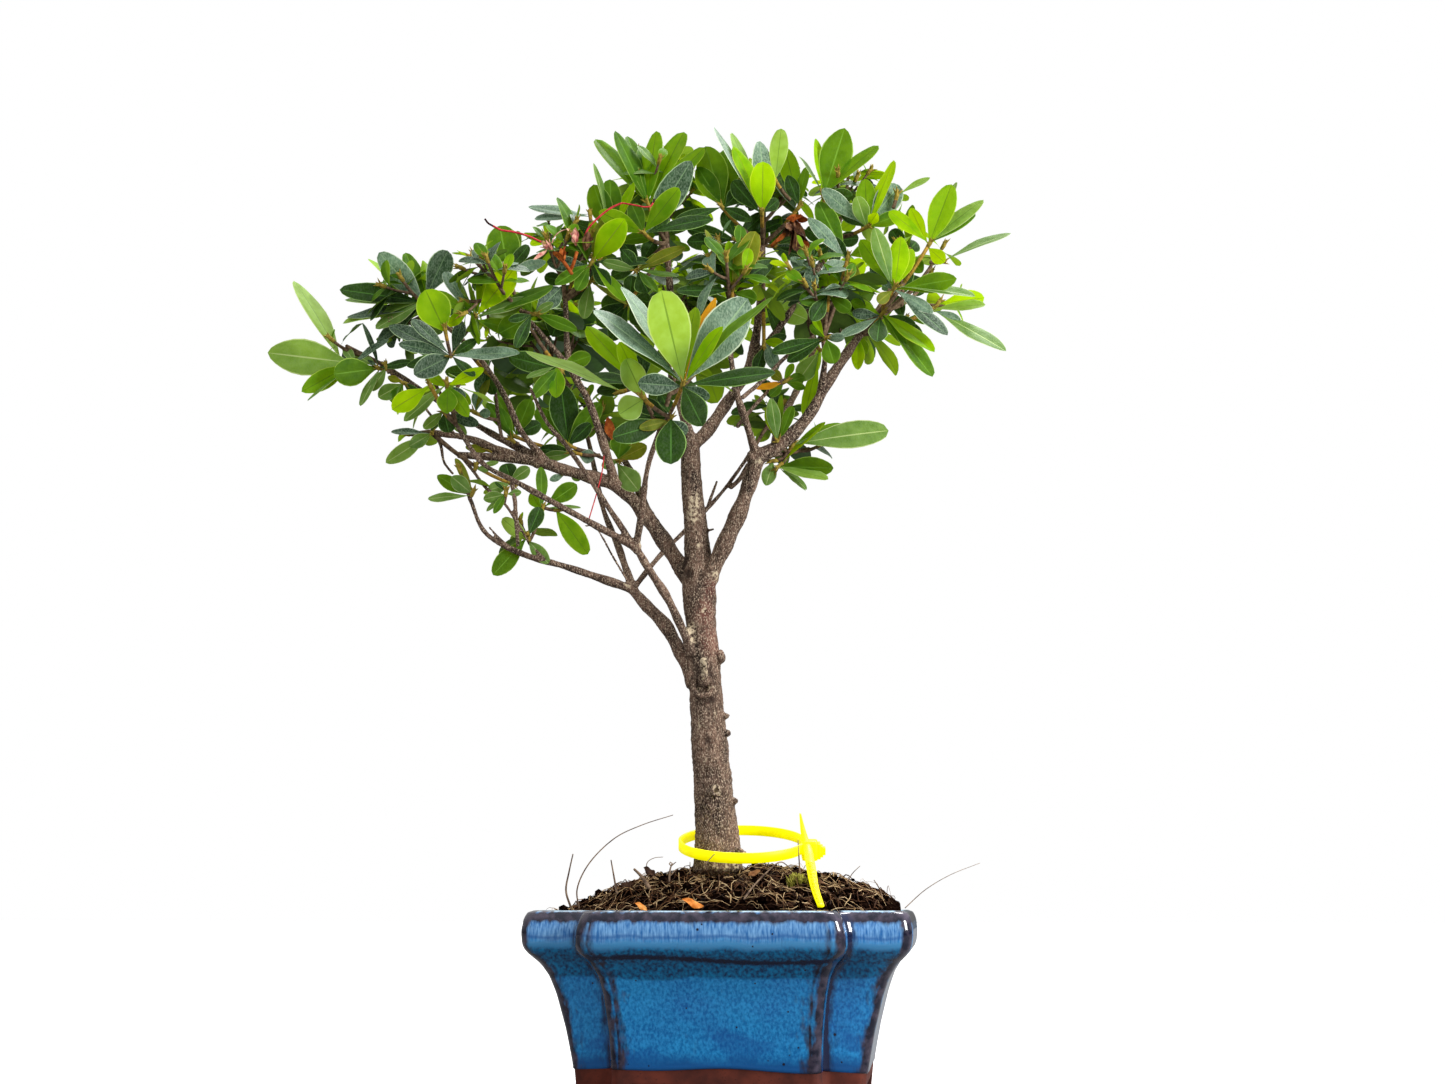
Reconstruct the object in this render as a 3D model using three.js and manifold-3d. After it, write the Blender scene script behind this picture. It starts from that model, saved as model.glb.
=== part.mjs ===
import * as THREE from "three";
import { mergeVertices } from "three/addons/utils/BufferGeometryUtils.js";
import Module from "manifold-3d";

// A small azalea trained as a bonsai, in a glazed pot with notched corners.
// Millimetres, +Z up, the front of the pot faces -Y.
// The tree is set out as seen from the front: x to the right, y away from the viewer, z up from the table.

const wasm = await Module();
wasm.setup();

// Driving sizes
const GAP = 0.3; // left between neighbouring pieces
const TREE_TURN = THREE.MathUtils.degToRad(8); // the tree's front, turned from the pot's front
const SPACE_MARGIN = 1.6; // how much nearer a leaf lies to its own stem than to any other
const LIMB_GAP = 0.25; // left round each limb where another limb or a mass is cut back from it
const GOLDEN_ANGLE = Math.PI * (3 - Math.sqrt(5));
const NEARLY_UPRIGHT = 0.9; // upward share of a direction from which its sideways turn is taken from Y
const UP = new THREE.Vector3(0, 0, 1);

const POT = {
  height: 81,
  widthLessThanLength: 19, // half width is this much under half length
  wall: 8,
  thinning: { from: 60, over: 60 }, // above "from" the wall thins, and would be gone "over" higher
  lip: 2, // level width inside the rolled rim
  floor: 19,
  footHeight: 7,
  footOpening: { long: 74, short: 44 },
  drain: { radius: 7, offset: 30, sides: 12 },
};

// Half length of the pot's outside at each height, from the feet to the top of the rolled rim.
const POT_PROFILE = [
  [0, 63],
  [13, 64.5],
  [30, 68],
  [45, 72],
  [53, 75],
  [58.5, 78.6],
  [63, 83.5],
  [66, 85.3],
  [72, 86],
  [78, 85.2],
  [80.4, 83.8],
  [81, 81.5],
];

// The notch in each corner, at the foot and at the rim, and the rounding of its outer corners.
const NOTCH = { length: [17, 29], width: [9, 15], round: [3.5, 6], steps: 2 };

const SOIL = {
  edge: 79.8, // height where it meets the wall
  rise: 20.5, // how far the mound stands above its edge
  top: 6, // the mound is highest this far to the right of the pot's middle
  reach: { x: 84, y: 60 },
  lumps: { height: 1.2, fine: { x: 0.31, y: 0.37, shift: 1.3 }, broad: { x: 0.13, y: -0.21 } },
  rings: 5,
};

const TRUNK_CUT = 99.5; // height of the flat cut where the trunk meets the soil
const TRUNK_FLAT = 17; // radius of the level spot under it
const CUTTER = { side: 80, depth: 40 }; // the block that makes the flat cut

const TIE = {
  width: 4.8,
  thickness: 1.3,
  reach: 28,
  depthShare: 0.9,
  sides: 28,
  tilt: 13,
  centre: [5, 0, 110.6],
  head: { size: [9, 7, 9], out: 2.6, along: -4.5, up: 1.5 }, // set out from the loop's right end
};

// The strap's free end, from its tip above the head down into the soil; its tip is tapered.
const TAIL = { tipWidth: 1, width: 5, tapered: 1 / 3, thickness: 1.4, steps: 8 };

// Limbs have a ring at about every "spacing", and more sides where their foot is thick.
const LIMB = { spacing: 17, leastRings: 3, thick: 3, sides: { thick: 8, thin: 5 } };

// A mass's stem and the shoots that fork from it. Pairs are the least and the most of what is drawn.
const STEM = { taper: 0.35, sides: 5 };

const SHOOT = {
  radius: 1.5,
  taper: 0.2,
  sides: 3,
  rings: 3,
  alone: 0.2, // angle to the stem of a shoot that has no others beside it
  open: [0.3, 1.8], // angles to the stem, from the first shoot to the last
  reach: [0.85, 1.15],
  forks: [0.35, 0.75], // share of the stem where it forks off
  sag: 0.2,
  leafy: 14, // length of its end that bears leaves
  tries: 5,
  shorten: 0.92, // each new try at a leaf
};

const LEAF = {
  widthShare: 0.52,
  widestAt: 0.58,
  thickness: 1.3,
  fold: 0.05,
  sunk: 0.2, // how far its root passes the middle of the shoot
  open: { young: 0.45, old: 1.55, spread: 0.3 }, // angle to the shoot
  turnSpread: 0.5,
  youngest: 0.62, // length of the last leaf, against the first
  lengths: [0.88, 1.12],
};

// Spent blossom: where its stalk leaves the stem, the crumpled ball, and the arch of a pistil.
const BLOOM = {
  from: 0.3,
  stalk: { radius: 0.9, sides: 3 },
  squash: [1, 0.8, 1.15],
  largeSize: 5, // from this size on, the ball is cut finer
  pistil: { radius: 0.7, sides: 3, rings: 4, rise: 5 },
};

// Materials
function finish(color, roughness, metalness = 0) {
  return new THREE.MeshStandardMaterial({ color, roughness, metalness });
}

const glaze = finish(0x2f6f9e, 0.18);
const earth = finish(0x2e2119, 0.95);
const bark = finish(0x6b5a50, 0.85);
const leafGreen = finish(0x5e8f2e, 0.5);
const yellowPlastic = finish(0xffe600, 0.4);

// Solids

function solid(points, faces) {
  const vertProperties = new Float32Array(points.flatMap((point) => point.toArray()));
  return new wasm.Manifold(new wasm.Mesh({ numProp: 3, vertProperties, triVerts: new Uint32Array(faces) }));
}

// A closed three.js geometry, placed by a matrix, as a solid.
function solidOf(geometry, matrix = new THREE.Matrix4()) {
  const plain = geometry.clone().applyMatrix4(matrix);
  plain.deleteAttribute("normal");
  plain.deleteAttribute("uv");
  const merged = mergeVertices(plain, 1e-3);
  const vertProperties = merged.attributes.position.array;
  const triVerts = new Uint32Array(merged.index.array);
  return new wasm.Manifold(new wasm.Mesh({ numProp: 3, vertProperties, triVerts }));
}

// A closed skin through a stack of rings with equally many points, with a fan over each end.
function loft(rings) {
  const count = rings[0].length;
  const sumOf = (ring) => ring.reduce((sum, point) => sum.add(point), new THREE.Vector3());
  const middleOf = (ring) => sumOf(ring).divideScalar(count);
  const points = [...rings.flat(), middleOf(rings[0]), middleOf(rings.at(-1))];
  const first = points.length - 2;
  const last = points.length - 1;
  const faces = [];
  for (let level = 0; level < rings.length; level += 1) {
    const here = level * count;
    const next = here + count;
    for (let i = 0; i < count; i += 1) {
      const j = (i + 1) % count;
      if (level === 0) faces.push(first, j, i);
      if (level === rings.length - 1) faces.push(here + i, here + j, last);
      else faces.push(here + i, here + j, next + j, here + i, next + j, next + i);
    }
  }
  return solid(points, faces);
}

// A round tube along a curve; radiusAt takes the share of its length, 0 to 1, and the angle round it.
function tube(curve, radiusAt, sides, steps) {
  const frames = curve.computeFrenetFrames(steps, false);
  const rings = [];
  for (let step = 0; step <= steps; step += 1) {
    const share = step / steps;
    const middle = curve.getPointAt(share);
    const ring = [];
    for (let side = 0; side < sides; side += 1) {
      const angle = (2 * Math.PI * side) / sides;
      ring.push(
        middle
          .clone()
          .addScaledVector(frames.normals[step], radiusAt(share, angle) * Math.cos(angle))
          .addScaledVector(frames.binormals[step], radiusAt(share, angle) * Math.sin(angle)),
      );
    }
    rings.push(ring);
  }
  return loft(rings);
}

// The biggest connected piece of a solid, with any hollow that was sealed inside it filled.
function mainPiece(whole) {
  const mesh = whole.getMesh();
  const { triVerts } = mesh;
  const owner = Array.from({ length: mesh.vertProperties.length / mesh.numProp }, (_, i) => i);
  const find = (i) => {
    let root = i;
    while (owner[root] !== root) root = owner[root] = owner[owner[root]];
    return root;
  };
  const twins = mesh.mergeFromVert ?? [];
  for (let i = 0; i < twins.length; i += 1) owner[find(twins[i])] = find(mesh.mergeToVert[i]);
  for (let t = 0; t < triVerts.length; t += 3) {
    owner[find(triVerts[t])] = find(triVerts[t + 1]);
    owner[find(triVerts[t])] = find(triVerts[t + 2]);
  }
  const corner = (i) => new THREE.Vector3().fromArray(mesh.vertProperties, i * mesh.numProp);
  const pieces = new Map();
  for (let t = 0; t < triVerts.length; t += 3) {
    const [a, b, c] = [triVerts[t], triVerts[t + 1], triVerts[t + 2]];
    const root = find(a);
    if (!pieces.has(root)) pieces.set(root, { faces: [], volume: 0 });
    const piece = pieces.get(root);
    piece.faces.push(a, b, c);
    piece.volume += corner(a).dot(corner(b).cross(corner(c))) / 6;
  }
  const biggest = [...pieces.values()].sort((one, other) => other.volume - one.volume)[0];
  const points = owner.map((_, i) => corner(i));
  const geometry = new THREE.BufferGeometry().setFromPoints(points);
  geometry.setIndex(biggest.faces);
  return solidOf(geometry.toNonIndexed());
}

function geometryOf(made) {
  const mesh = made.getMesh();
  const geometry = new THREE.BufferGeometry();
  const corners = new Float32Array(mesh.vertProperties);
  geometry.setAttribute("position", new THREE.BufferAttribute(corners, mesh.numProp));
  geometry.setIndex(new THREE.BufferAttribute(new Uint32Array(mesh.triVerts), 1));
  const faceted = geometry.toNonIndexed();
  faceted.computeVertexNormals();
  return faceted;
}

function piece(name, made, material) {
  const mesh = new THREE.Mesh(geometryOf(made), material);
  mesh.name = name;
  return mesh;
}

// Draws between 0 and 1 that come out the same each time.
function seeded(seed) {
  let state = seed;
  return () => {
    state = (state * 16807) % 2147483647;
    return state / 2147483647;
  };
}

function vector([x, y, z]) {
  return new THREE.Vector3(x, y, z);
}

function through(places) {
  return new THREE.CatmullRomCurve3(places.map(vector));
}

// Pot

// The outline of a rectangle with a notch cut from each corner, the notch's two outer corners rounded.
function notchedOutline(halfLength, height) {
  const share = height / POT.height;
  const halfWidth = halfLength - POT.widthLessThanLength;
  const [notchLength, notchWidth, round] = [NOTCH.length, NOTCH.width, NOTCH.round].map(([foot, rim]) =>
    THREE.MathUtils.lerp(foot, rim, share),
  );
  const quarter = [];
  const roundOff = (x, y) => {
    for (let step = 0; step <= NOTCH.steps; step += 1) {
      const angle = (Math.PI / 2) * (step / NOTCH.steps);
      quarter.push([x - round + round * Math.cos(angle), y - round + round * Math.sin(angle)]);
    }
  };
  roundOff(halfLength, halfWidth - notchWidth);
  quarter.push([halfLength - notchLength, halfWidth - notchWidth]);
  roundOff(halfLength - notchLength, halfWidth);
  const mirrored = [...quarter].reverse();
  return [
    ...quarter,
    ...mirrored.map(([x, y]) => [-x, y]),
    ...quarter.map(([x, y]) => [-x, -y]),
    ...mirrored.map(([x, y]) => [x, -y]),
  ].map(([x, y]) => new THREE.Vector3(x, y, height));
}

function halfLengthAt(height) {
  const above = POT_PROFILE.findIndex(([level]) => level >= height);
  if (above <= 0) return POT_PROFILE[0][1];
  const [[low, small], [high, large]] = [POT_PROFILE[above - 1], POT_PROFILE[above]];
  return THREE.MathUtils.mapLinear(height, low, high, small, large);
}

const CAVITY_HEIGHTS = [78, 66, 53, 30, POT.floor];

function cavityOutline(height, clearance = 0) {
  const { from, over } = POT.thinning;
  const wall = POT.wall * (1 - Math.max(0, height - from) / over);
  return notchedOutline(halfLengthAt(height) - wall - clearance, height);
}

function makePot() {
  const outside = POT_PROFILE.map(([height, halfLength]) => notchedOutline(halfLength, height));
  const lip = notchedOutline(POT_PROFILE.at(-1)[1] - POT.lip, POT.height);
  const inside = CAVITY_HEIGHTS.map((height) => cavityOutline(height));
  let pot = loft([...outside, lip, ...inside]);
  // The long and the short openings under the floor leave a foot at each corner.
  const { long, short } = POT.footOpening;
  const past = 3 * long; // right through to both sides
  for (const [length, width] of [
    [long, past],
    [past, short],
  ]) {
    const opening = new THREE.BoxGeometry(length, width, 2 * POT.footHeight);
    pot = pot.subtract(solidOf(opening));
  }
  const { radius, offset, sides } = POT.drain;
  for (const side of [-1, 1]) {
    const hole = new THREE.CylinderGeometry(radius, radius, 3 * POT.floor, sides).rotateX(Math.PI / 2);
    pot = pot.subtract(solidOf(hole.translate(side * offset, 0, 0)));
  }
  return pot;
}

// Soil, in the pot's frame

function soilHeight(x, y) {
  const across = (x - SOIL.top) / SOIL.reach.x;
  const away = y / SOIL.reach.y;
  const inward = Math.max(0, 1 - across * across - away * away);
  const { height, fine, broad } = SOIL.lumps;
  const small = Math.sin(x * fine.x + fine.shift) * Math.cos(y * fine.y);
  const large = Math.sin(x * broad.x + y * broad.y);
  return SOIL.edge + SOIL.rise * inward + height * (small + large) * Math.sqrt(inward);
}

function makeSoil() {
  const trunkFoot = vector(TRUNK.points[0]).applyAxisAngle(UP, TREE_TURN);
  const walls = [...CAVITY_HEIGHTS].reverse().map((height) => cavityOutline(height, GAP));
  walls[0].forEach((point) => point.setZ(POT.floor + GAP));
  const wallTop = walls.at(-1);
  const top = [];
  for (let step = 1; step <= SOIL.rings; step += 1) {
    const share = step / SOIL.rings;
    top.push(
      wallTop.map((point, i) => {
        const angle = (2 * Math.PI * i) / wallTop.length;
        const inner = vector([Math.cos(angle), Math.sin(angle), 0]).multiplyScalar(TRUNK_FLAT);
        const at = point.clone().lerp(inner.add(trunkFoot), share);
        const level = share === 1 ? TRUNK_CUT - GAP : soilHeight(at.x, at.y);
        return at.setZ(level);
      }),
    );
  }
  return loft([...walls, ...top]);
}

// Trunk and limbs

const TRUNK = {
  points: [
    [-5, 0, 92],
    [-5.5, 0, 113],
    [-7.4, 0, 138],
    [-9.8, 0, 167],
    [-11.6, 0, 196],
    [-14.1, 0, 228],
    [-15.6, 0, 262],
    [-17, 0, 284],
    [-18.5, 0, 308],
  ],
  radius: [10.6, 5.2],
  taper: 0.9,
  flare: { radius: 3.4, reach: 0.055, ridges: 3, ridge: 0.28, turn: 0.7 }, // it dies out over its reach
  fork: { radius: 1.6, at: 0.66, reach: 0.07 }, // the swelling where the boughs part
  sides: 12,
  steps: 13,
};

function trunkRadius(share, angle, extra = 0) {
  const { radius, taper, flare, fork } = TRUNK;
  const tapered = THREE.MathUtils.lerp(radius[0], radius[1], share ** taper);
  const ridges = 1 + flare.ridge * Math.cos(flare.ridges * angle + flare.turn);
  const flared = flare.radius * Math.exp(-share / flare.reach) * ridges;
  const swollen = fork.radius * Math.exp(-(((share - fork.at) / fork.reach) ** 2));
  return tapered + flared + swollen + extra;
}

function makeTrunk(extra = 0) {
  const radiusAt = (share, angle) => trunkRadius(share, angle, extra);
  return tube(through(TRUNK.points), radiusAt, TRUNK.sides, TRUNK.steps);
}

// Old cuts and knots that stand out of the trunk: place, radius and how far each is stretched upright.
const KNOTS = [
  [[-12, -6.5, 190], 4.2, 1.9],
  [[-4, -3, 199], 3.2, 1.3],
  [[-3, -4, 171], 3.4, 1.2],
  [[1, -3, 128], 3.6, 1.2],
];

function makeKnot([place, radius, stretch]) {
  const knot = new THREE.IcosahedronGeometry(radius, 1).scale(1, 1, stretch);
  return solidOf(knot.translate(...place));
}

// Each limb: radius at its foot and tip, then the few points it bends through.
const LIMBS = {
  bough_right: [4.5, 3.7, [-11, -3, 234], [-3, -7, 254], [5, -11, 273], [14, -15, 296]],
  bough_right_outer: [3.5, 2.2, [14, -15, 296], [24, -16, 301], [38, -16, 315], [50, -15, 336], [66, -12, 361]],
  bough_right_inner: [2.1, 1.4, [14, -15, 296], [9, -19, 311], [4, -24, 326], [0, -28, 352]],
  bough_right_upper: [1.7, 1.2, [45, -15, 328], [47, -24, 342], [46, -30, 352]],
  bough_right_back: [2.2, 1.4, [22, -15, 300], [28, 8, 324], [38, 32, 350], [44, 44, 368]],
  twig_right: [1.4, 1.1, [18, -14, 297], [25, -10, 299], [30, -8, 300]],
  leader_right: [3.4, 1.6, [-18, 0, 306], [-11, 2, 314], [-1, 6, 330], [10, 8, 349], [15, 8, 372], [18, 9, 418]],
  leader_right_fork: [2.1, 1.4, [8, 8, 345], [28, 7, 374], [46, 5, 402], [54, 5, 420]],
  leader_left: [3.2, 1.6, [-19, 0, 306], [-24, 5, 335], [-28, 7, 370], [-32, 8, 418]],
  bough_back: [2.4, 1.5, [-18, 3, 296], [-23, 30, 332], [-25, 52, 364], [-25, 62, 380]],
  bough_left: [4.6, 2.7, [-15, 1, 235], [-25, 6, 253], [-40, 10, 275], [-55, 12, 289], [-77, 14, 298], [-98, 14, 304]],
  bough_left_far: [2.3, 1.6, [-98, 14, 304], [-116, 14, 309], [-133, 12, 314], [-150, 9, 316]],
  bough_left_upper: [2, 1.2, [-96, 14, 304], [-117, 19, 316], [-138, 16, 328], [-160, 8, 341], [-172, 2, 348]],
  bough_left_rise: [1.8, 1.2, [-93, 14, 303], [-105, 9, 317], [-112, 5, 332], [-122, 3, 348], [-136, 2, 364]],
  bough_middle_rise: [2.3, 1.4, [-57, 12, 290], [-62, 6, 307], [-70, -2, 329], [-79, -6, 346], [-82, -9, 380]],
  bough_middle_fork: [1.5, 1.1, [-76, -5, 341], [-89, -14, 355], [-102, -25, 368]],
  bough_left_back: [2.2, 1.4, [-40, 10, 274], [-54, 30, 308], [-76, 47, 342], [-86, 54, 356]],
  bough_low: [3.7, 2.8, [-17, -1, 192], [-22, 2, 204], [-30, 8, 219], [-40, 12, 229], [-48, 15, 238]],
  bough_low_left: [2.2, 1, [-48, 15, 238], [-81, 8, 248], [-100, 2, 252], [-119, -2, 261], [-127, -5, 278]],
  twig_low_middle: [1.1, 0.9, [-92, 4, 250], [-99, 9, 259]],
  bough_low_rise: [2, 1.2, [-48, 15, 238], [-56, 23, 261], [-64, 30, 281], [-71, 31, 312]],
  twig_low_cross: [1.4, 1, [-47, 15, 237], [-35, 28, 256], [-22, 34, 271], [-3, 36, 292], [14, 35, 316]],
  bough_thin: [2.5, 2, [-17, -4, 205], [-27, -14, 226], [-37, -20, 240], [-44, -24, 249]],
  bough_thin_front: [1.7, 1.2, [-44, -24, 249], [-41, -32, 264], [-38, -44, 282], [-32, -54, 298]],
  bough_thin_left: [1.8, 1.1, [-44, -24, 249], [-67, -27, 261], [-101, -27, 280], [-118, -25, 290], [-133, -18, 312]],
  twig_dead: [1.5, 0.9, [-44, -24, 248], [-57, -30, 267], [-76, -38, 294], [-86, -40, 306], [-94, -42, 322]],
};

function makeLimb([footRadius, tipRadius, ...places], extra = 0) {
  const curve = through(places);
  const steps = Math.max(LIMB.leastRings, Math.round(curve.getLength() / LIMB.spacing));
  const tip = curve.points.at(-1);
  tip.addScaledVector(curve.getTangentAt(1), extra);
  curve.updateArcLengths();
  const sides = footRadius > LIMB.thick ? LIMB.sides.thick : LIMB.sides.thin;
  return tube(curve, (share) => THREE.MathUtils.lerp(footRadius, tipRadius, share) + extra, sides, steps);
}

// Foliage

// Each mass of leaves: the limb it grows on, its middle, how far its shoots spread from there, the number of
// shoots, leaves on each shoot, the longest leaf, and the seed of its draws.
const MASSES = {
  leaves_top_right: ["leader_right", [19, 9, 447], 15, 3, 9, 34, 13],
  leaves_middle_left: ["bough_middle_rise", [-85, -6, 405], 17, 3, 9, 34, 15],
  leaves_far_right: ["bough_right_outer", [98, -8, 390], 24, 4, 8, 44, 11],
  leaves_right_top: ["leader_right_fork", [64, 5, 444], 16, 3, 9, 36, 12],
  leaves_top_left: ["leader_left", [-34, 8, 446], 20, 4, 8, 36, 14],
  leaves_front_left: ["bough_middle_fork", [-117, -34, 381], 15, 3, 8, 34, 16],
  leaves_left: ["bough_left_rise", [-157, 3, 386], 16, 3, 9, 36, 17],
  leaves_far_left: ["bough_left_upper", [-192, -5, 357], 8, 1, 10, 40, 18],
  leaves_left_low: ["bough_thin_left", [-139, -16, 333], 10, 2, 6, 30, 19],
  leaves_left_hanging: ["bough_left_far", [-157, 7, 315], 5, 1, 5, 30, 20],
  leaves_low_left: ["bough_low_left", [-130, -6, 288], 5, 1, 5, 26, 21],
  leaves_low_middle: ["twig_low_middle", [-103, 12, 267], 5, 1, 5, 32, 22],
  leaves_front: ["bough_thin_front", [-24, -60, 326], 10, 2, 10, 44, 23],
  leaves_middle: ["bough_right_inner", [2, -32, 388], 16, 3, 9, 34, 24],
  leaves_right_middle: ["bough_right_upper", [46, -36, 376], 15, 3, 9, 34, 25],
  leaves_right_spray: ["twig_right", [40, -6, 303], 6, 1, 7, 42, 26],
  leaves_inner_left: ["bough_low_rise", [-76, 30, 332], 12, 2, 8, 32, 27],
  leaves_inner_right: ["twig_low_cross", [24, 34, 334], 10, 2, 8, 32, 28],
  leaves_back_left: ["bough_left_back", [-100, 64, 378], 22, 4, 8, 36, 29],
  leaves_back: ["bough_back", [-26, 72, 404], 22, 4, 8, 36, 30],
  leaves_back_right: ["bough_right_back", [54, 60, 394], 22, 4, 8, 36, 31],
};

// Spent blossom: the mass that carries it, its place and size, and where its pistil ends if one is left.
const SPENT = [
  { mass: "leaves_middle_left", place: [-92, -28, 407], size: 3.4, pistil: [-118, -35, 421] },
  { mass: "leaves_middle_left", place: [-76, -28, 412], size: 3.4, pistil: [-49, -33, 429] },
  { mass: "leaves_top_right", place: [33, -12, 414], size: 6.5 },
];

const STEMS = Object.entries(MASSES).map(([name, [limb, middle]]) => ({
  name,
  line: new THREE.Line3(vector(LIMBS[limb].at(-1)), vector(middle)),
}));

// A mass's own space is all that lies nearer to its stem than to any other stem, by a small margin.
function isInOwnSpace(name, point) {
  const nearest = new THREE.Vector3();
  const distances = STEMS.map((stem) => {
    stem.line.closestPointToPoint(point, true, nearest);
    return { name: stem.name, distance: nearest.distanceTo(point) };
  });
  const own = distances.find((entry) => entry.name === name).distance;
  return distances.every((entry) => entry.name === name || entry.distance > own + SPACE_MARGIN);
}

function between([least, most], share) {
  return least + (most - least) * share;
}

// Turns away from an axis by one angle and round it by another.
function aside(axis, open, around) {
  const across = Math.abs(axis.z) > NEARLY_UPRIGHT ? new THREE.Vector3(0, 1, 0) : UP;
  const side = new THREE.Vector3().crossVectors(axis, across).normalize();
  const over = new THREE.Vector3().crossVectors(side, axis);
  return axis
    .clone()
    .multiplyScalar(Math.cos(open))
    .addScaledVector(side, Math.sin(open) * Math.cos(around))
    .addScaledVector(over, Math.sin(open) * Math.sin(around));
}

// The shoots of a mass: each forks from the stem, bends upward and ends in a cluster of leaves.
function growShoots([limb, middle, spread, shootCount], random) {
  const foot = vector(LIMBS[limb].at(-1));
  const centre = vector(middle);
  const heading = centre.clone().sub(foot).normalize();
  const shoots = [];
  for (let k = 0; k < shootCount; k += 1) {
    const open = shootCount === 1 ? SHOOT.alone : between(SHOOT.open, (k + 0.5) / shootCount);
    const out = aside(heading, open, k * GOLDEN_ANGLE + random());
    const end = centre.clone().addScaledVector(out, spread * between(SHOOT.reach, random()));
    const crotch = foot.clone().lerp(centre, between(SHOOT.forks, random()));
    const bend = crotch.clone().lerp(end, 0.5).addScaledVector(UP, -SHOOT.sag * crotch.distanceTo(end));
    shoots.push(new THREE.QuadraticBezierCurve3(crotch, bend, end));
  }
  return shoots;
}

// One leaf of a shoot: the youngest, at the tip, are short and upright, and the oldest long and wide open.
function leafOn(shoot, share, turn, longest, random) {
  const age = 1 - share;
  const back = (SHOOT.leafy * age) / shoot.getLength();
  const root = shoot.getPointAt(Math.max(0, 1 - back));
  const axis = shoot.getTangentAt(1);
  const { young, old, spread } = LEAF.open;
  const open = between([young, old], age) + spread * random();
  const toward = aside(axis, open, turn + LEAF.turnSpread * random());
  return {
    root,
    toward,
    face: axis.clone().addScaledVector(toward, -axis.dot(toward)).normalize(),
    length: longest * between([LEAF.youngest, 1], age) * between(LEAF.lengths, random()),
  };
}

// A leaf as a thin body of eight faces, its root sunk through the shoot.
function leafCorners({ root, toward, face, length }) {
  const side = new THREE.Vector3().crossVectors(face, toward);
  const at = (along, across, up) =>
    root.clone().addScaledVector(toward, along).addScaledVector(side, across).addScaledVector(face, up);
  const middle = length * LEAF.widestAt;
  const half = (length * LEAF.widthShare) / 2;
  const lift = length * LEAF.fold;
  return [
    at(-LEAF.sunk, 0, 0),
    at(length, 0, 0),
    at(middle, half, lift),
    at(middle, -half, lift),
    at(middle, 0, LEAF.thickness / 2),
    at(middle, 0, -LEAF.thickness / 2),
  ];
}

function makeLeaf(leaf) {
  const [root, tip, left, right, top, under] = [0, 1, 2, 3, 4, 5];
  return solid(leafCorners(leaf), [
    [root, top, left],
    [root, right, top],
    [tip, left, top],
    [tip, top, right],
    [root, left, under],
    [root, under, right],
    [tip, under, left],
    [tip, right, under],
  ].flat());
}

function staysClear(name, points, made, keepOff) {
  return points.every((point) => isInOwnSpace(name, point)) && made.intersect(keepOff).isEmpty();
}

// The first of a few tries, each shorter, at a leaf that stays in its space and crosses no limb or leaf.
function fitLeaf(name, blades, keepOff, draw) {
  for (let attempt = 0; attempt < SHOOT.tries; attempt += 1) {
    const leaf = draw(SHOOT.shorten ** attempt);
    const blade = makeLeaf(leaf);
    const corners = leafCorners(leaf).slice(1);
    const crosses = (other) => !other.intersect(blade).isEmpty();
    if (staysClear(name, corners, blade, keepOff) && !blades.some(crosses)) return blade;
  }
  return null;
}

// A stalk from the stem to a crumpled ball, with an arched pistil out of the ball if one is left.
function makeSpent({ place, size, pistil }, stem) {
  const middle = vector(place);
  const way = new THREE.LineCurve3(stem.getPointAt(BLOOM.from), middle);
  const stalk = tube(way, () => BLOOM.stalk.radius, BLOOM.stalk.sides, 1);
  const ball = new THREE.IcosahedronGeometry(size, size > BLOOM.largeSize ? 1 : 0);
  const made = stalk.add(solidOf(ball.scale(...BLOOM.squash).translate(...place)));
  if (!pistil) return made;
  const { radius, sides, rings, rise } = BLOOM.pistil;
  const tip = vector(pistil);
  const arch = middle.clone().lerp(tip, 0.5).addScaledVector(UP, rise);
  return made.add(tube(new THREE.QuadraticBezierCurve3(middle, arch, tip), () => radius, sides, rings));
}

function makeMass(name, mass, keepOff) {
  const [limb, middle, , , leafCount, longest, seed] = mass;
  const random = seeded(seed * 7919);
  const stemRadius = LIMBS[limb][1];
  const stem = new THREE.LineCurve3(vector(LIMBS[limb].at(-1)), vector(middle));
  const stemAt = (share) => stemRadius * (1 - STEM.taper * share);
  const twigAt = (share) => SHOOT.radius * (1 - SHOOT.taper * share);
  const twigs = [tube(stem, stemAt, STEM.sides, 1).subtract(keepOff)];
  const carried = SPENT.filter((one) => one.mass === name);
  const spent = carried.map((one) => makeSpent(one, stem).subtract(keepOff));
  const blades = [];
  for (const shoot of growShoots(mass, random)) {
    const twig = tube(shoot, twigAt, SHOOT.sides, SHOOT.rings);
    if (!staysClear(name, shoot.getPoints(SHOOT.rings), twig, keepOff)) continue;
    twigs.push(twig);
    for (let n = 0; n < leafCount; n += 1) {
      const draw = (scale) => leafOn(shoot, n / leafCount, n * GOLDEN_ANGLE, longest * scale, random);
      const blade = fitLeaf(name, blades, keepOff, draw);
      if (blade) blades.push(blade);
    }
  }
  const made = [...twigs, ...spent, ...blades].reduce((whole, part) => whole.add(part));
  return { made: mainPiece(made), spent };
}

// Cable tie

function placeInLoop(geometry) {
  const [x, y, z] = TIE.centre;
  return geometry.rotateX(THREE.MathUtils.degToRad(TIE.tilt)).translate(x, y, z);
}

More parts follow.
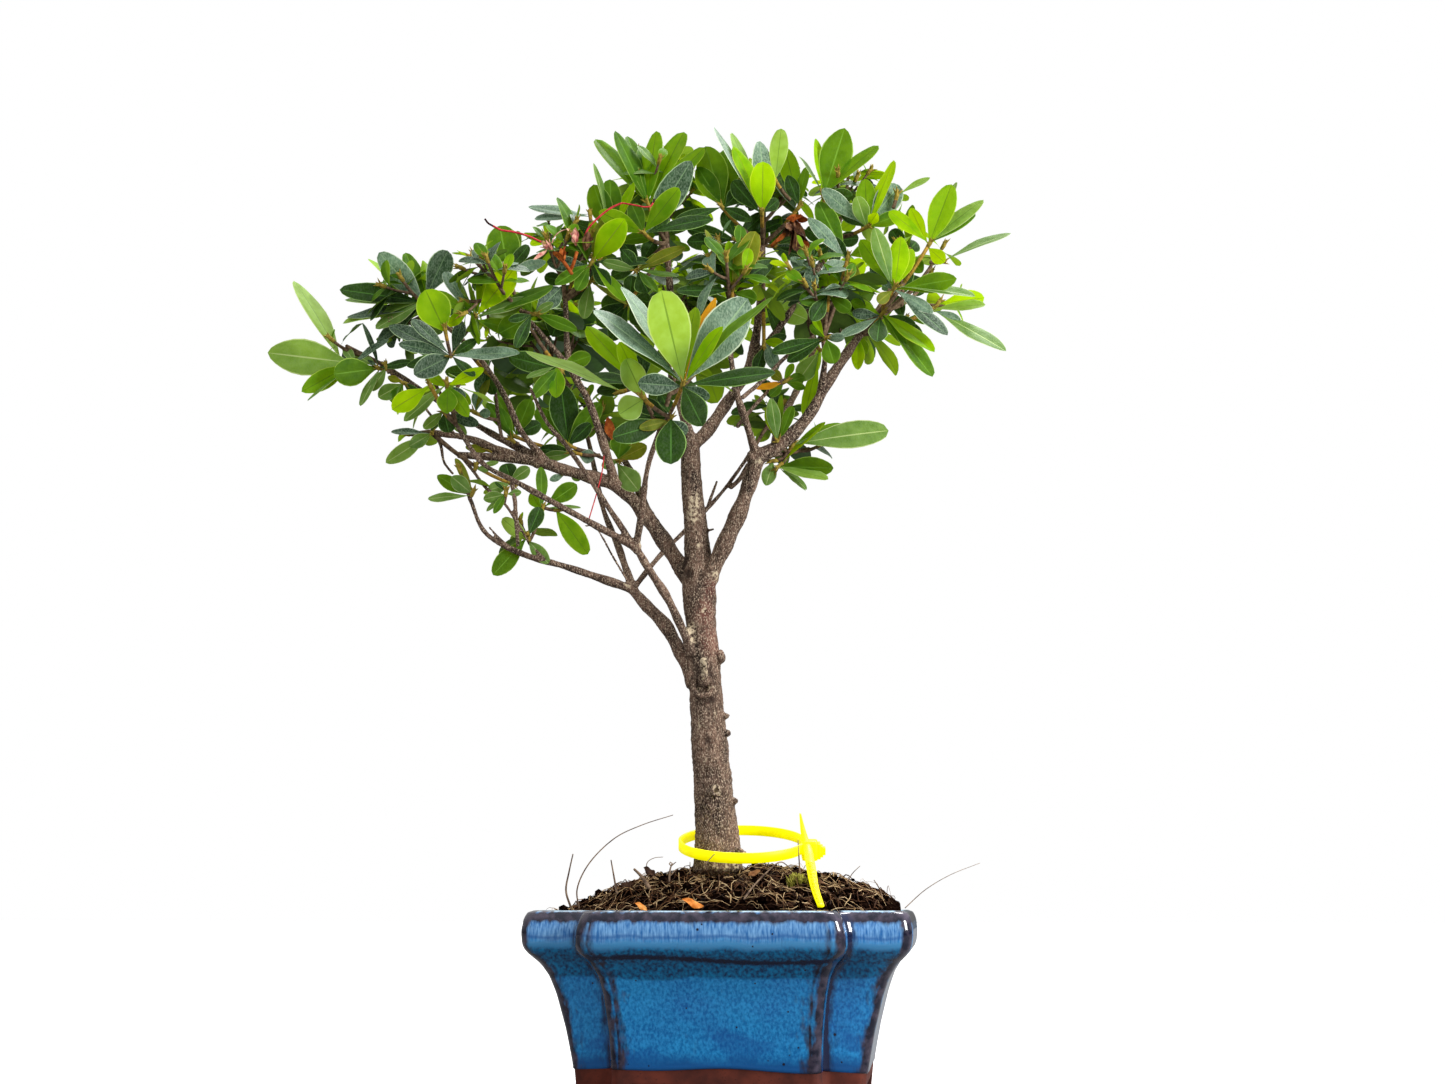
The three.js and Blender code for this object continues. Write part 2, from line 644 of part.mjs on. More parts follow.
// A flat strap through points, its width across x.
function strap(points, widthAt, thickness, steps) {
  const curve = new THREE.CatmullRomCurve3(points);
  const rings = [];
  for (let step = 0; step <= steps; step += 1) {
    const share = step / steps;
    const middle = curve.getPointAt(share);
    const across = new THREE.Vector3(1, 0, 0);
    const through = new THREE.Vector3().crossVectors(curve.getTangentAt(share), across).normalize();
    rings.push(
      [
        [-1, -1],
        [1, -1],
        [1, 1],
        [-1, 1],
      ].map(([a, b]) =>
        middle
          .clone()
          .addScaledVector(across, (a * widthAt(share)) / 2)
          .addScaledVector(through, (b * thickness) / 2),
      ),
    );
  }
  return loft(rings);
}

function tieTail(extra = 0) {
  const points = [
    [34, 2, 124 + extra],
    [36, -6, 112],
    [38.5, -30, 99.5],
    [39.5, -50, 82 - extra],
  ].map(vector);
  const { tipWidth, width, tapered } = TAIL;
  const widthAt = (share) => between([tipWidth, width], Math.min(1, share / tapered)) + 2 * extra;
  return strap(points, widthAt, TAIL.thickness + 2 * extra, TAIL.steps);
}

function makeTie() {
  const [inner, outer] = [TIE.reach - TIE.thickness, TIE.reach];
  const half = TIE.width / 2;
  const section = [
    [inner, -half],
    [outer, -half],
    [outer, half],
    [inner, half],
    [inner, -half],
  ].map(([radius, level]) => new THREE.Vector2(radius, level));
  const loop = new THREE.LatheGeometry(section, TIE.sides).rotateX(Math.PI / 2).scale(1, TIE.depthShare, 1);
  const { size, out, along, up } = TIE.head;
  const head = new THREE.BoxGeometry(...size).translate(TIE.reach + out, along, up);
  return solidOf(placeInLoop(loop)).add(solidOf(placeInLoop(head))).add(tieTail());
}

// Assembly

const tree = new THREE.Group();
tree.rotation.z = TREE_TURN;

const turn = new THREE.Matrix4().makeRotationZ(TREE_TURN);
const block = new THREE.BoxGeometry(CUTTER.side, CUTTER.side, CUTTER.depth);
const belowCut = solidOf(block.translate(0, 0, TRUNK_CUT - CUTTER.depth / 2));
const trunk = KNOTS.reduce((made, knot) => made.add(makeKnot(knot)), makeTrunk()).subtract(belowCut);
tree.add(piece("trunk", trunk, bark));

// Each limb is cut clear of the trunk and of the limbs before it.
let keepOff = KNOTS.reduce((made, knot) => made.add(makeKnot(knot)), makeTrunk(GAP));
for (const [name, limb] of Object.entries(LIMBS)) {
  const made = mainPiece(makeLimb(limb).subtract(keepOff));
  tree.add(piece(name, made, bark));
  keepOff = keepOff.add(makeLimb(limb, LIMB_GAP));
}

for (const [name, mass] of Object.entries(MASSES)) {
  const { made, spent } = makeMass(name, mass, keepOff);
  keepOff = spent.reduce((whole, part) => whole.add(part), keepOff);
  tree.add(piece(name, made, leafGreen));
}

tree.add(piece("cable_tie", makeTie(), yellowPlastic));

const plant = new THREE.Group();
plant.add(tree);
plant.add(piece("pot", makePot(), glaze));
const soilClear = solidOf(geometryOf(tieTail(GAP)), turn);
plant.add(piece("soil", mainPiece(makeSoil().subtract(soilClear)), earth));

// The origin is under the middle of the whole plant's box.
plant.updateMatrixWorld(true);
const middle = new THREE.Box3().setFromObject(plant, true).getCenter(new THREE.Vector3());
plant.position.set(-middle.x, -middle.y, 0);

export default plant;
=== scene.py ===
# %% [markdown]
# # An azalea bonsai in a blue glazed pot
# The plant stands in an unglazed clay pot dipped in blue glaze. A bare trunk carries a flat, dense crown of
# small evergreen leaves. The frame holds the plain solids of the plant; each step below grows or turns a
# finer piece in the place of one kind of solid. Sizes are in millimetres as the tree is seen from its front
# (right, away, up), and one helper turns them into the scene's metres.

import math

import bmesh
import bpy
import numpy as np
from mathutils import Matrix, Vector, noise
from mathutils.kdtree import KDTree


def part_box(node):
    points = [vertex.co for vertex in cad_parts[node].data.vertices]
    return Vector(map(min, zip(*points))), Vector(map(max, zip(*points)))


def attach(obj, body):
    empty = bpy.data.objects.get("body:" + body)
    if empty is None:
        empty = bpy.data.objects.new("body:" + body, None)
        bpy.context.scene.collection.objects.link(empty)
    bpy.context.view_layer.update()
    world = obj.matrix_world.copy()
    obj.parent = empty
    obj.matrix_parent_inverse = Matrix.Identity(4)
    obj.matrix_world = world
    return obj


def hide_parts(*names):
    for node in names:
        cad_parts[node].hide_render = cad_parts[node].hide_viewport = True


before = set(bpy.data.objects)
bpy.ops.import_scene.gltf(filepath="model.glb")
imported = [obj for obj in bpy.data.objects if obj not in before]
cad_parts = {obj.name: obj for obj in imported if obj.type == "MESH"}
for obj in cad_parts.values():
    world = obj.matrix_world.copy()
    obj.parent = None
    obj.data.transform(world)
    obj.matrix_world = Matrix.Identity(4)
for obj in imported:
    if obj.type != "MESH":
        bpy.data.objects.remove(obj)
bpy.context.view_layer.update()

# %% Places and draws
MM = 0.001
BODY = "root"
TREE_TURN = math.radians(8)  # the tree's front, turned from the pot's front
GOLDEN_ANGLE = math.pi * (3 - math.sqrt(5))
UP = np.array([0.0, 0.0, 1.0])

pot_low, pot_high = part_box("pot")
POT_AXIS = (pot_low + pot_high) / 2


def turned(points, angle):
    """Points in millimetres (right, away, up), turned about the upright."""
    right, away, up = np.atleast_2d(np.asarray(points, float)).T
    across = right * math.cos(angle) - away * math.sin(angle)
    deep = right * math.sin(angle) + away * math.cos(angle)
    return np.column_stack([across, deep, up])


def to_scene(points, turn=TREE_TURN):
    """Millimetres round the pot's axis as the tree's front sees them, as metres in the scene."""
    return np.array([POT_AXIS.x, POT_AXIS.y, 0]) + turned(points, turn) * MM


def seeded(seed):
    """Draws between 0 and 1 that come out the same each time."""
    state = seed * 7919

    def draw():
        nonlocal state
        state = state * 16807 % 2147483647
        return state / 2147483647

    return draw


def between(span, share):
    return span[0] + (span[1] - span[0]) * share


def unit(vector):
    return vector / max(np.linalg.norm(vector), 1e-9)


# %% [markdown]
# ## Gathering small pieces into one mesh
# A plant has hundreds of leaves and fibres. An object for each would be slow, and instances are lost on
# export, so every kind is written into one mesh: each small piece hands over its points, faces and the
# number of its material.

# %% A mesh piece, and one that is filled bit by bit
def linked(thing):
    """Puts an object into the scene and hands it back."""
    bpy.context.scene.collection.objects.link(thing)
    return thing


def mesh_piece(name, points, faces, materials, turn=0.0, smooth=True):
    mesh = bpy.data.meshes.new(name)
    mesh.from_pydata(to_scene(points, turn), [], faces)
    for material in materials:
        mesh.materials.append(material)
    mesh.polygons.foreach_set("use_smooth", [smooth] * len(faces))
    mesh.update()
    piece = linked(bpy.data.objects.new(name, mesh))
    return piece


class Gathered:
    def __init__(self):
        self.points = []
        self.faces = []
        self.kinds = []
        self.count = 0

    def add(self, points, faces, kinds=0):
        self.points.append(points)
        self.faces.extend(tuple(i + self.count for i in face) for face in faces)
        self.kinds.extend([kinds] * len(faces) if isinstance(kinds, int) else kinds)
        self.count += len(points)

    def build(self, name, materials, slot, turn=TREE_TURN, smooth=True):
        piece = mesh_piece(name, np.vstack(self.points), self.faces, materials, turn, smooth)
        piece.data.polygons.foreach_set("material_index", self.kinds)
        triangles = sum(len(face) - 2 for face in self.faces)
        print(f"{name}: {len(self.points)} small pieces, {triangles} triangles")
        return piece


def unpacked(shape):
    """The points and faces of a bmesh, which is freed."""
    points = np.array([vert.co[:] for vert in shape.verts])
    faces = [tuple(vert.index for vert in face.verts) for face in shape.faces]
    shape.free()
    return points, faces


# %% [markdown]
# ## Curves and tubes
# Boughs, shoots and fibres are all tubes along a curve. The curve through a limb's few points is the same
# centripetal Catmull-Rom curve as in the part's source, so that the dressed limbs lie where the solids are.
# A frame carried along the curve without twisting keeps the rings from wringing.

# %% Curves through points, tubes along them
def curve_through(places, spacing=2.0):
    """Evenly spaced points on the centripetal Catmull-Rom curve through places."""
    p = [np.asarray(place, float) for place in places]
    p = [2 * p[0] - p[1], *p, 2 * p[-1] - p[-2]]
    fine = []
    for a, b, c, d in zip(p, p[1:], p[2:], p[3:]):
        t0, t1, t2 = (max(np.sum((m - n) ** 2), 1e-6) ** 0.25 for m, n in ((a, b), (b, c), (c, d)))
        start = t1 * ((b - a) / t0 - (c - a) / (t0 + t1) + (c - b) / t1)
        end = t1 * ((c - b) / t1 - (d - b) / (t1 + t2) + (d - c) / t2)
        for t in np.linspace(0, 1, 24, endpoint=False):
            bent = (-3 * b + 3 * c - 2 * start - end) * t * t + (2 * b - 2 * c + start + end) * t**3
            fine.append(b + start * t + bent)
    fine.append(p[-2])
    return evenly(np.array(fine), spacing)


def evenly(points, spacing):
    along = np.concatenate([[0], np.cumsum(np.linalg.norm(np.diff(points, axis=0), axis=1))])
    count = max(2, round(along[-1] / spacing) + 1)
    at = np.linspace(0, along[-1], count)
    return np.column_stack([np.interp(at, along, points[:, axis]) for axis in range(3)])


def arc(start, bend, end, count):
    """Points on the quadratic curve from start to end that bend pulls."""
    t = np.linspace(0, 1, count)[:, None]
    return (1 - t) ** 2 * start + 2 * t * (1 - t) * bend + t * t * end


def loft_faces(levels, count, ends="open"):
    """Faces between rings of count points each; the ends stay open, are capped, or meet in a loop."""
    faces = []
    for level in range(levels if ends == "looped" else levels - 1):
        here, above = level * count, (level + 1) % levels * count
        for i in range(count):
            j = (i + 1) % count
            faces.append((here + i, here + j, above + j, above + i))
    if ends == "capped":
        faces.append(tuple(reversed(range(count))))
        faces.append(tuple((levels - 1) * count + i for i in range(count)))
    return faces


def tube(path, radii, sides):
    """Points and faces of a round tube with a pointed cap at each end."""
    radii = np.broadcast_to(radii, len(path))
    tangents = np.gradient(path, axis=0)
    tangents /= np.linalg.norm(tangents, axis=1)[:, None]
    across = unit(np.cross(tangents[0], UP if abs(tangents[0][2]) < 0.9 else [0, 1, 0]))
    around = np.linspace(0, 2 * math.pi, sides, endpoint=False)
    rings = []
    for middle, tangent, radius in zip(path, tangents, radii):
        across = unit(across - tangent * across.dot(tangent))
        over = np.cross(tangent, across)
        rings.append(middle + radius * (np.outer(np.cos(around), across) + np.outer(np.sin(around), over)))
    tips = [path[0] - tangents[0] * radii[0] * 0.5, path[-1] + tangents[-1] * radii[-1] * 0.5]
    faces = loft_faces(len(path), sides)
    last, tip = (len(path) - 1) * sides, len(path) * sides
    faces += [((i + 1) % sides, i, tip) for i in range(sides)]
    faces += [(last + i, last + (i + 1) % sides, tip + 1) for i in range(sides)]
    return np.vstack([*rings, *tips]), faces


# %% [markdown]
# ## Camera, light and floor
# The photograph looks slightly up at the plant from the height of the rim, from a little under a metre. The
# camera repeats that: it stands low, is pitched up and has no shift. Light comes as from a bright overcast
# sky: a white world lights all sides, and a wide sun high up behind the plant makes its thin leaves glow.
# Two weaker lamps stand in front. The left one only lights, and the right one models the trunk and puts a
# clear reflection on the glaze.

# %% Camera
CAMERA = {"lens": 39.04, "sensor": 36.0, "distance": 750.0, "side": -2.9, "height": 84.7, "pitch": 12.94}
PHOTO = {"width": 1445, "height": 1084}
FOCAL = CAMERA["lens"] / CAMERA["sensor"] * PHOTO["width"]
EYE = np.array([CAMERA["side"], -CAMERA["distance"], CAMERA["height"]])

camera = linked(bpy.data.objects.new("camera", bpy.data.cameras.new("camera")))
camera.data.sensor_width = CAMERA["sensor"]
camera.data.lens = CAMERA["lens"]
camera.location = to_scene(EYE)[0]
camera.rotation_euler = (math.radians(90 + CAMERA["pitch"]), 0, TREE_TURN)
bpy.context.scene.camera = camera


def seen_at(x, y, away):
    """The place that the camera sees at the photograph's pixel (x, y), so far behind the tree's middle."""
    pitch = math.radians(CAMERA["pitch"])
    right, up = (x - PHOTO["width"] / 2) / FOCAL, (PHOTO["height"] / 2 - y) / FOCAL
    reach = (CAMERA["distance"] + away) / (math.cos(pitch) - up * math.sin(pitch))
    height = CAMERA["height"] + (math.sin(pitch) + up * math.cos(pitch)) * reach
    return np.array([CAMERA["side"] + right * reach, away, height])


def seen_path(places, spacing):
    return curve_through([seen_at(*place) for place in places], spacing)


def pixel(away):
    """Width in millimetres of one of the photograph's pixels, so far behind the tree's middle."""
    return (CAMERA["distance"] + away) / FOCAL


print("middle of the photo lies", np.round(seen_at(PHOTO["width"] / 2, PHOTO["height"] / 2, 0)), "mm")


# %% Lamps and sky
TREE_MIDDLE = [-40, 0, 380]
TRUNK_MIDDLE = [0, 0, 200]
SKY = {"From Min": -0.05, "From Max": 0.9, "To Min": 0.08, "To Max": 1.0}  # strength by how far up it lies


def add_lamp(name, place, target, side, power):
    lamp = linked(bpy.data.objects.new(name, bpy.data.lights.new(name, "AREA")))
    lamp.data.size = side * MM
    lamp.data.energy = power
    lamp.location = to_scene(place)[0]
    direction = Vector(to_scene(target)[0]) - lamp.location
    lamp.rotation_euler = direction.to_track_quat("-Z", "Y").to_euler()
    return lamp


add_lamp("lamp_front", [-650, -900, 700], TREE_MIDDLE, 500, 4.5).visible_glossy = False
add_lamp("lamp_side", [800, -500, 500], TRUNK_MIDDLE, 300, 11)

sun = linked(bpy.data.objects.new("lamp_sky", bpy.data.lights.new("lamp_sky", "SUN")))
sun.data.energy = 3.8
sun.data.angle = math.radians(24)
sun.rotation_euler = (math.radians(-24), math.radians(14), 0)


def set_sky():
    """A sky brightest overhead, that the camera sees as plain white."""
    world = bpy.data.worlds.new("studio")
    world.use_nodes = True
    tree = world.node_tree
    place = tree.nodes.new("ShaderNodeTexCoord")
    split = tree.nodes.new("ShaderNodeSeparateXYZ")
    tree.links.new(place.outputs["Generated"], split.inputs["Vector"])
    height = tree.nodes.new("ShaderNodeMapRange")
    tree.links.new(split.outputs["Z"], height.inputs["Value"])
    for socket, value in SKY.items():
        height.inputs[socket].default_value = value
    lit, seen = tree.nodes["Background"], tree.nodes.new("ShaderNodeBackground")
    for background in (lit, seen):
        background.inputs["Color"].default_value = (1.0, 1.0, 1.0, 1.0)
    tree.links.new(height.outputs["Result"], lit.inputs["Strength"])
    ray = tree.nodes.new("ShaderNodeLightPath")
    chosen = tree.nodes.new("ShaderNodeMixShader")
    tree.links.new(ray.outputs["Is Camera Ray"], chosen.inputs["Fac"])
    tree.links.new(lit.outputs["Background"], chosen.inputs[1])
    tree.links.new(seen.outputs["Background"], chosen.inputs[2])
    tree.links.new(chosen.outputs["Shader"], tree.nodes["World Output"].inputs["Surface"])
    bpy.context.scene.world = world


set_sky()
bpy.context.scene.view_settings.view_transform = "Standard"

# %% [markdown]
# ## Finishes
# Each finish is one Principled material. What several finishes share is built once as a node group with
# named sockets: a mottling between two colours, and small specks. Both work in object coordinates, so no
# piece needs an unwrapping.

# %% Short ways to place shader nodes
def linear(code):
    """A colour written as on a paint card, RRGGBB, as the linear colour that shading needs."""
    channels = [int(code[i : i + 2], 16) / 255 for i in (0, 2, 4)]
    return tuple(c / 12.92 if c <= 0.04045 else ((c + 0.055) / 1.055) ** 2.4 for c in channels) + (1.0,)


def plug(tree, value, socket):
    """Feeds a socket from another node's output, or sets it to a plain value."""
    if hasattr(value, "links"):
        tree.links.new(value, socket)
    else:
        socket.default_value = value


def ranged(tree, value, low, high):
    """The value's share of the way from low to high, kept between 0 and 1."""
    node = tree.nodes.new("ShaderNodeMapRange")
    for name, given in (("Value", value), ("From Min", low), ("From Max", high)):
        plug(tree, given, node.inputs[name])
    return node.outputs["Result"]


def calculated(tree, operation, *values):
    node = tree.nodes.new("ShaderNodeMath")
    node.operation = operation
    for value, socket in zip(values, node.inputs):
        plug(tree, value, socket)
    return node.outputs[0]


def added(tree, value, share, other):
    """value * share + other."""
    return calculated(tree, "MULTIPLY_ADD", value, share, other)


def mixed(tree, share, first, second):
    node = tree.nodes.new("ShaderNodeMix")
    node.data_type = "RGBA"
    for value, socket in ((share, 0), (first, 6), (second, 7)):
        plug(tree, value, node.inputs[socket])
    return node.outputs[2]


def attribute(tree, name):
    node = tree.nodes.new("ShaderNodeAttribute")
    node.attribute_name = name
    return node.outputs["Fac"]


# %% Shared shader groups
def new_group(name, inputs, outputs):
    group = bpy.data.node_groups.new(name, "ShaderNodeTree")
    for socket, kind, value in inputs:
        made = group.interface.new_socket(socket, in_out="INPUT", socket_type=f"NodeSocket{kind}")
        made.default_value = value
    for socket, kind in outputs:
        group.interface.new_socket(socket, in_out="OUTPUT", socket_type=f"NodeSocket{kind}")
    return group, group.nodes.new("NodeGroupInput").outputs, group.nodes.new("NodeGroupOutput").inputs


def make_mottle():
    """Two colours clouded into each other. An upright stretch under 1 draws the clouds out in height."""
    group, given, out = new_group(
        "mottle",
        [
            ("First", "Color", (1, 1, 1, 1)), ("Second", "Color", (0, 0, 0, 1)), ("Scale", "Float", 100.0),
            ("Stretch", "Vector", (1, 1, 1)), ("From", "Float", 0.4), ("To", "Float", 0.6),
        ],
        [("Color", "Color"), ("Mask", "Float")],
    )
    place = group.nodes.new("ShaderNodeTexCoord")
    scaled = group.nodes.new("ShaderNodeVectorMath")
    scaled.operation = "MULTIPLY"
    group.links.new(place.outputs["Object"], scaled.inputs[0])
    group.links.new(given["Stretch"], scaled.inputs[1])
    clouds = group.nodes.new("ShaderNodeTexNoise")
    clouds.inputs["Detail"].default_value = 6.0
    group.links.new(scaled.outputs["Vector"], clouds.inputs["Vector"])
    group.links.new(given["Scale"], clouds.inputs["Scale"])
    mask = ranged(group, clouds.outputs["Fac"], given["From"], given["To"])
    group.links.new(mixed(group, mask, given["First"], given["Second"]), out["Color"])
    group.links.new(mask, out["Mask"])
    return group


def make_specks():
    """A mask of small round specks, one in some of the cells of a random pattern."""
    group, given, out = new_group(
        "specks",
        [("Scale", "Float", 200.0), ("Size", "Float", 0.15), ("Share", "Float", 0.3)],
        [("Mask", "Float")],
    )
    place = group.nodes.new("ShaderNodeTexCoord")
    cells = group.nodes.new("ShaderNodeTexVoronoi")
    group.links.new(place.outputs["Object"], cells.inputs["Vector"])
    group.links.new(given["Scale"], cells.inputs["Scale"])
    chance = group.nodes.new("ShaderNodeSeparateColor")
    group.links.new(cells.outputs["Color"], chance.inputs["Color"])
    kept = calculated(group, "LESS_THAN", chance.outputs["Red"], given["Share"])
    near = ranged(group, cells.outputs["Distance"], given["Size"], 0.0)
    group.links.new(calculated(group, "MULTIPLY", near, kept), out["Mask"])
    return group


MOTTLE = make_mottle()
SPECKS = make_specks()


# %% A material to start from
class Finish:
    """A material with its Principled shader, and short ways to build up its tone and relief."""

    def __init__(self, name, roughness, specular=0.5):
        self.material = bpy.data.materials.new(name)
        self.material.use_nodes = True
        self.tree = self.material.node_tree
        self.shader = self.tree.nodes["Principled BSDF"]
        self.set("Roughness", roughness)
        self.set("Specular IOR Level", specular)

    def set(self, socket, value):
        plug(self.tree, value, self.shader.inputs[socket])

    def place(self, group, **values):
        node = self.tree.nodes.new("ShaderNodeGroup")
        node.node_tree = group
        for socket, value in values.items():
            plug(self.tree, value, node.inputs[socket])
        return node.outputs

    def mottle(self, first, second, scale, low=0.4, high=0.6, upright=1.0):
        colours = {"First": linear(first), "Second": linear(second)}
        return self.place(MOTTLE, **colours, Scale=scale, Stretch=(1, 1, upright), From=low, To=high)

    def mask(self, *clouds):
        """The mottling between black and white alone."""
        return self.mottle("000000", "FFFFFF", *clouds)["Mask"]

    def lay(self, share, colour):
        """Lays a colour, or what another node gives, over the tone so far, where share says."""
        over = linear(colour) if isinstance(colour, str) else colour
        self.tone = mixed(self.tree, share, self.tone, over)

    def bump(self, height, distance, strength=1.0):
        node = self.tree.nodes.new("ShaderNodeBump")
        node.inputs["Distance"].default_value = distance * MM
        node.inputs["Strength"].default_value = strength
        self.tree.links.new(height, node.inputs["Height"])
        self.set("Normal", node.outputs["Normal"])

    def done(self):
        self.set("Base Color", self.tone)
        return self.material


# %% The floor
FLOOR_REACH = 6.0  # metres to each side


def make_floor():
    finish = Finish("studio_floor", 0.9)
    clouds = finish.place(MOTTLE, First=(0.97, 0.97, 0.97, 1), Second=(0.95, 0.95, 0.95, 1), Scale=6.0)
    ray = finish.tree.nodes.new("ShaderNodeLightPath")
    finish.tone = mixed(finish.tree, ray.outputs["Is Camera Ray"], (0.14, 0.14, 0.14, 1), clouds["Color"])
    mesh = bpy.data.meshes.new("floor")
    corners = [(x * FLOOR_REACH, y * FLOOR_REACH, 0) for x, y in ((-1, -1), (1, -1), (1, 1), (-1, 1))]
    mesh.from_pydata(corners, [], [(0, 1, 2, 3)])
    mesh.materials.append(finish.done())
    floor = linked(bpy.data.objects.new("floor", mesh))


make_floor()

# %% [markdown]
# ## The pot
# The pot was pressed in a mould: a rectangle with a notch at each corner, waisted over its feet and rolled
# out at the rim. It could be cut from blocks, but stacking the outline of each height into a loft gives the
# soft swell of the rim in one piece. The glaze is its own skin, a little proud of the clay and ending in a
# wavy line above the feet, as the pot was held by its feet and dipped.

# %% Sizes of the pot
POT = {"height": 81.0, "narrower": 19.0, "wall": 8.0, "floor": 19.0, "glaze": 0.35}
POT_PROFILE = [
    (0, 63), (13, 64.5), (30, 68), (45, 72), (53, 75), (58.5, 78.6),
    (63, 83.5), (66, 85.3), (72, 86), (78, 85.2), (80.4, 83.8), (81, 81.5),
]
NOTCH = {"length": (17, 29), "width": (9, 15), "round": (3.5, 6), "steps": 7, "reach": 3.6, "wider": 0.52}
GLAZE_LINE = {"height": 12.6, "arch": 2.2, "half_length": 75, "wave": 0.5, "pace": (0.11, 0.13)}
FEET = {"long": 74.0, "short": 44.0, "height": 7.0}
DRAIN = {"radius": 7.0, "offset": 30.0}


# %% The outline at each height
def smooth_profile(height):
    """Half length of the pot at a height: the profile's corners rounded by averaging round the height."""
    heights, halves = zip(*POT_PROFILE)
    reach = 1.5 if height < 79 else 0.3
    around = np.linspace(height - reach, height + reach, 7)
    return float(np.mean(np.interp(around, heights, halves)))


def way(start, end, shares):
    return start + (end - start) * shares[:, None]


def notched_outline(half_length, height, proud=0.0):
    """The outline's points, and how near each lies to a raised edge and to a crease."""
    share = height / POT["height"]
    half_width = half_length - POT["narrower"]
    length, width, round_off = (between(NOTCH[key], share) for key in ("length", "width", "round"))
    turns = np.linspace(0, math.pi / 2, NOTCH["steps"])
    arcs = np.column_stack([np.cos(turns), np.sin(turns)]) * round_off
    first = np.array([half_length - round_off, half_width - width - round_off]) + arcs
    inner = np.array([half_length - length, half_width - width])
    second = np.array([half_length - length - round_off, half_width - round_off]) + arcs
    corner = np.linspace(0, 1, 5)[1:-1]
    end = way(np.array([half_length, 0.0]), first[0], np.linspace(0, 1, 9)[:-1] ** 0.7)
    ledge, rise = way(first[-1], inner, corner), way(inner, second[0], corner)
    front = way(second[-1], np.array([0.0, half_width]), np.linspace(0, 1, 17)[1:] ** 1.4)
    quarter = np.vstack([end, first, ledge, inner, rise, second, front])
    edges = np.vstack([first[len(first) // 2], second[len(second) // 2]])
    to_edge = np.linalg.norm(quarter[:, None] - edges[None], axis=2).min(1)
    to_edge[-len(front) :] *= NOTCH["wider"]
    to_crease = np.linalg.norm(quarter - inner, axis=1)
    near = np.exp(-((np.column_stack([to_edge, to_crease]) / NOTCH["reach"]) ** 2))
    mirrored, near_mirrored = quarter[::-1][1:], near[::-1][1:]
    points = np.vstack([quarter, mirrored * [-1, 1], (quarter * [-1, -1])[1:], (mirrored * [1, -1])[:-1]])
    near = np.vstack([near, near_mirrored, near[1:], near_mirrored[:-1]])
    return pushed_out(np.column_stack([points, np.full(len(points), height)]), proud), near


def pushed_out(ring, proud):
    outward = ring[:, :2] / np.linalg.norm(ring[:, :2], axis=1)[:, None]
    return ring + np.column_stack([outward * proud, np.zeros(len(ring))])


def glaze_line(points):
    """Height of the glaze's lower edge round the pot: arched on each side, with a slight wave."""
    arch = np.cos(np.clip(points[:, 0] / GLAZE_LINE["half_length"], -1, 1) * math.pi / 2)
    wave = np.sin(points[:, 0] * GLAZE_LINE["pace"][0] + 1.0) * np.cos(points[:, 1] * GLAZE_LINE["pace"][1])
    return GLAZE_LINE["height"] + GLAZE_LINE["arch"] * arch + GLAZE_LINE["wave"] * wave


# %% The glaze
BANDS = {
    # lowest and highest place in millimetres, and the widths over which the two ends fade
    "puddles": (20, 32, 4, 6),
    "foot": (0, 17.5, 1, 5),
    "shade": (54.5, 65.5, 1.2, 3.5),
    "roll": (67.6, 69, 2, 1),
    "lip": (71.5, 200, 3, 10),
    "line": (71.1, 71.5, 0.9, 0.9),
    # the top of the rim, where a painted highlight lies
    "edge": (80.7, 200, 0.4, 10),
}
WANDER = 2.2  # millimetres by which the bands wander up and down
# The wavy dark line under the rim of the long sides is a painted shadow of the rim.
RIM_SHADOW_LINE = {"height": 60.6, "wave": 1.1, "pace": 0.055, "width": 1.2, "depth": 0.95}


def glaze_band(tree, height, name):
    """1 where the height lies in the band, falling off beyond its two ends."""
    low, high, soft_low, soft_high = (MM * value for value in BANDS[name])
    above = ranged(tree, height, low - soft_low, low)
    return calculated(tree, "MULTIPLY", above, ranged(tree, height, high + soft_high, high))


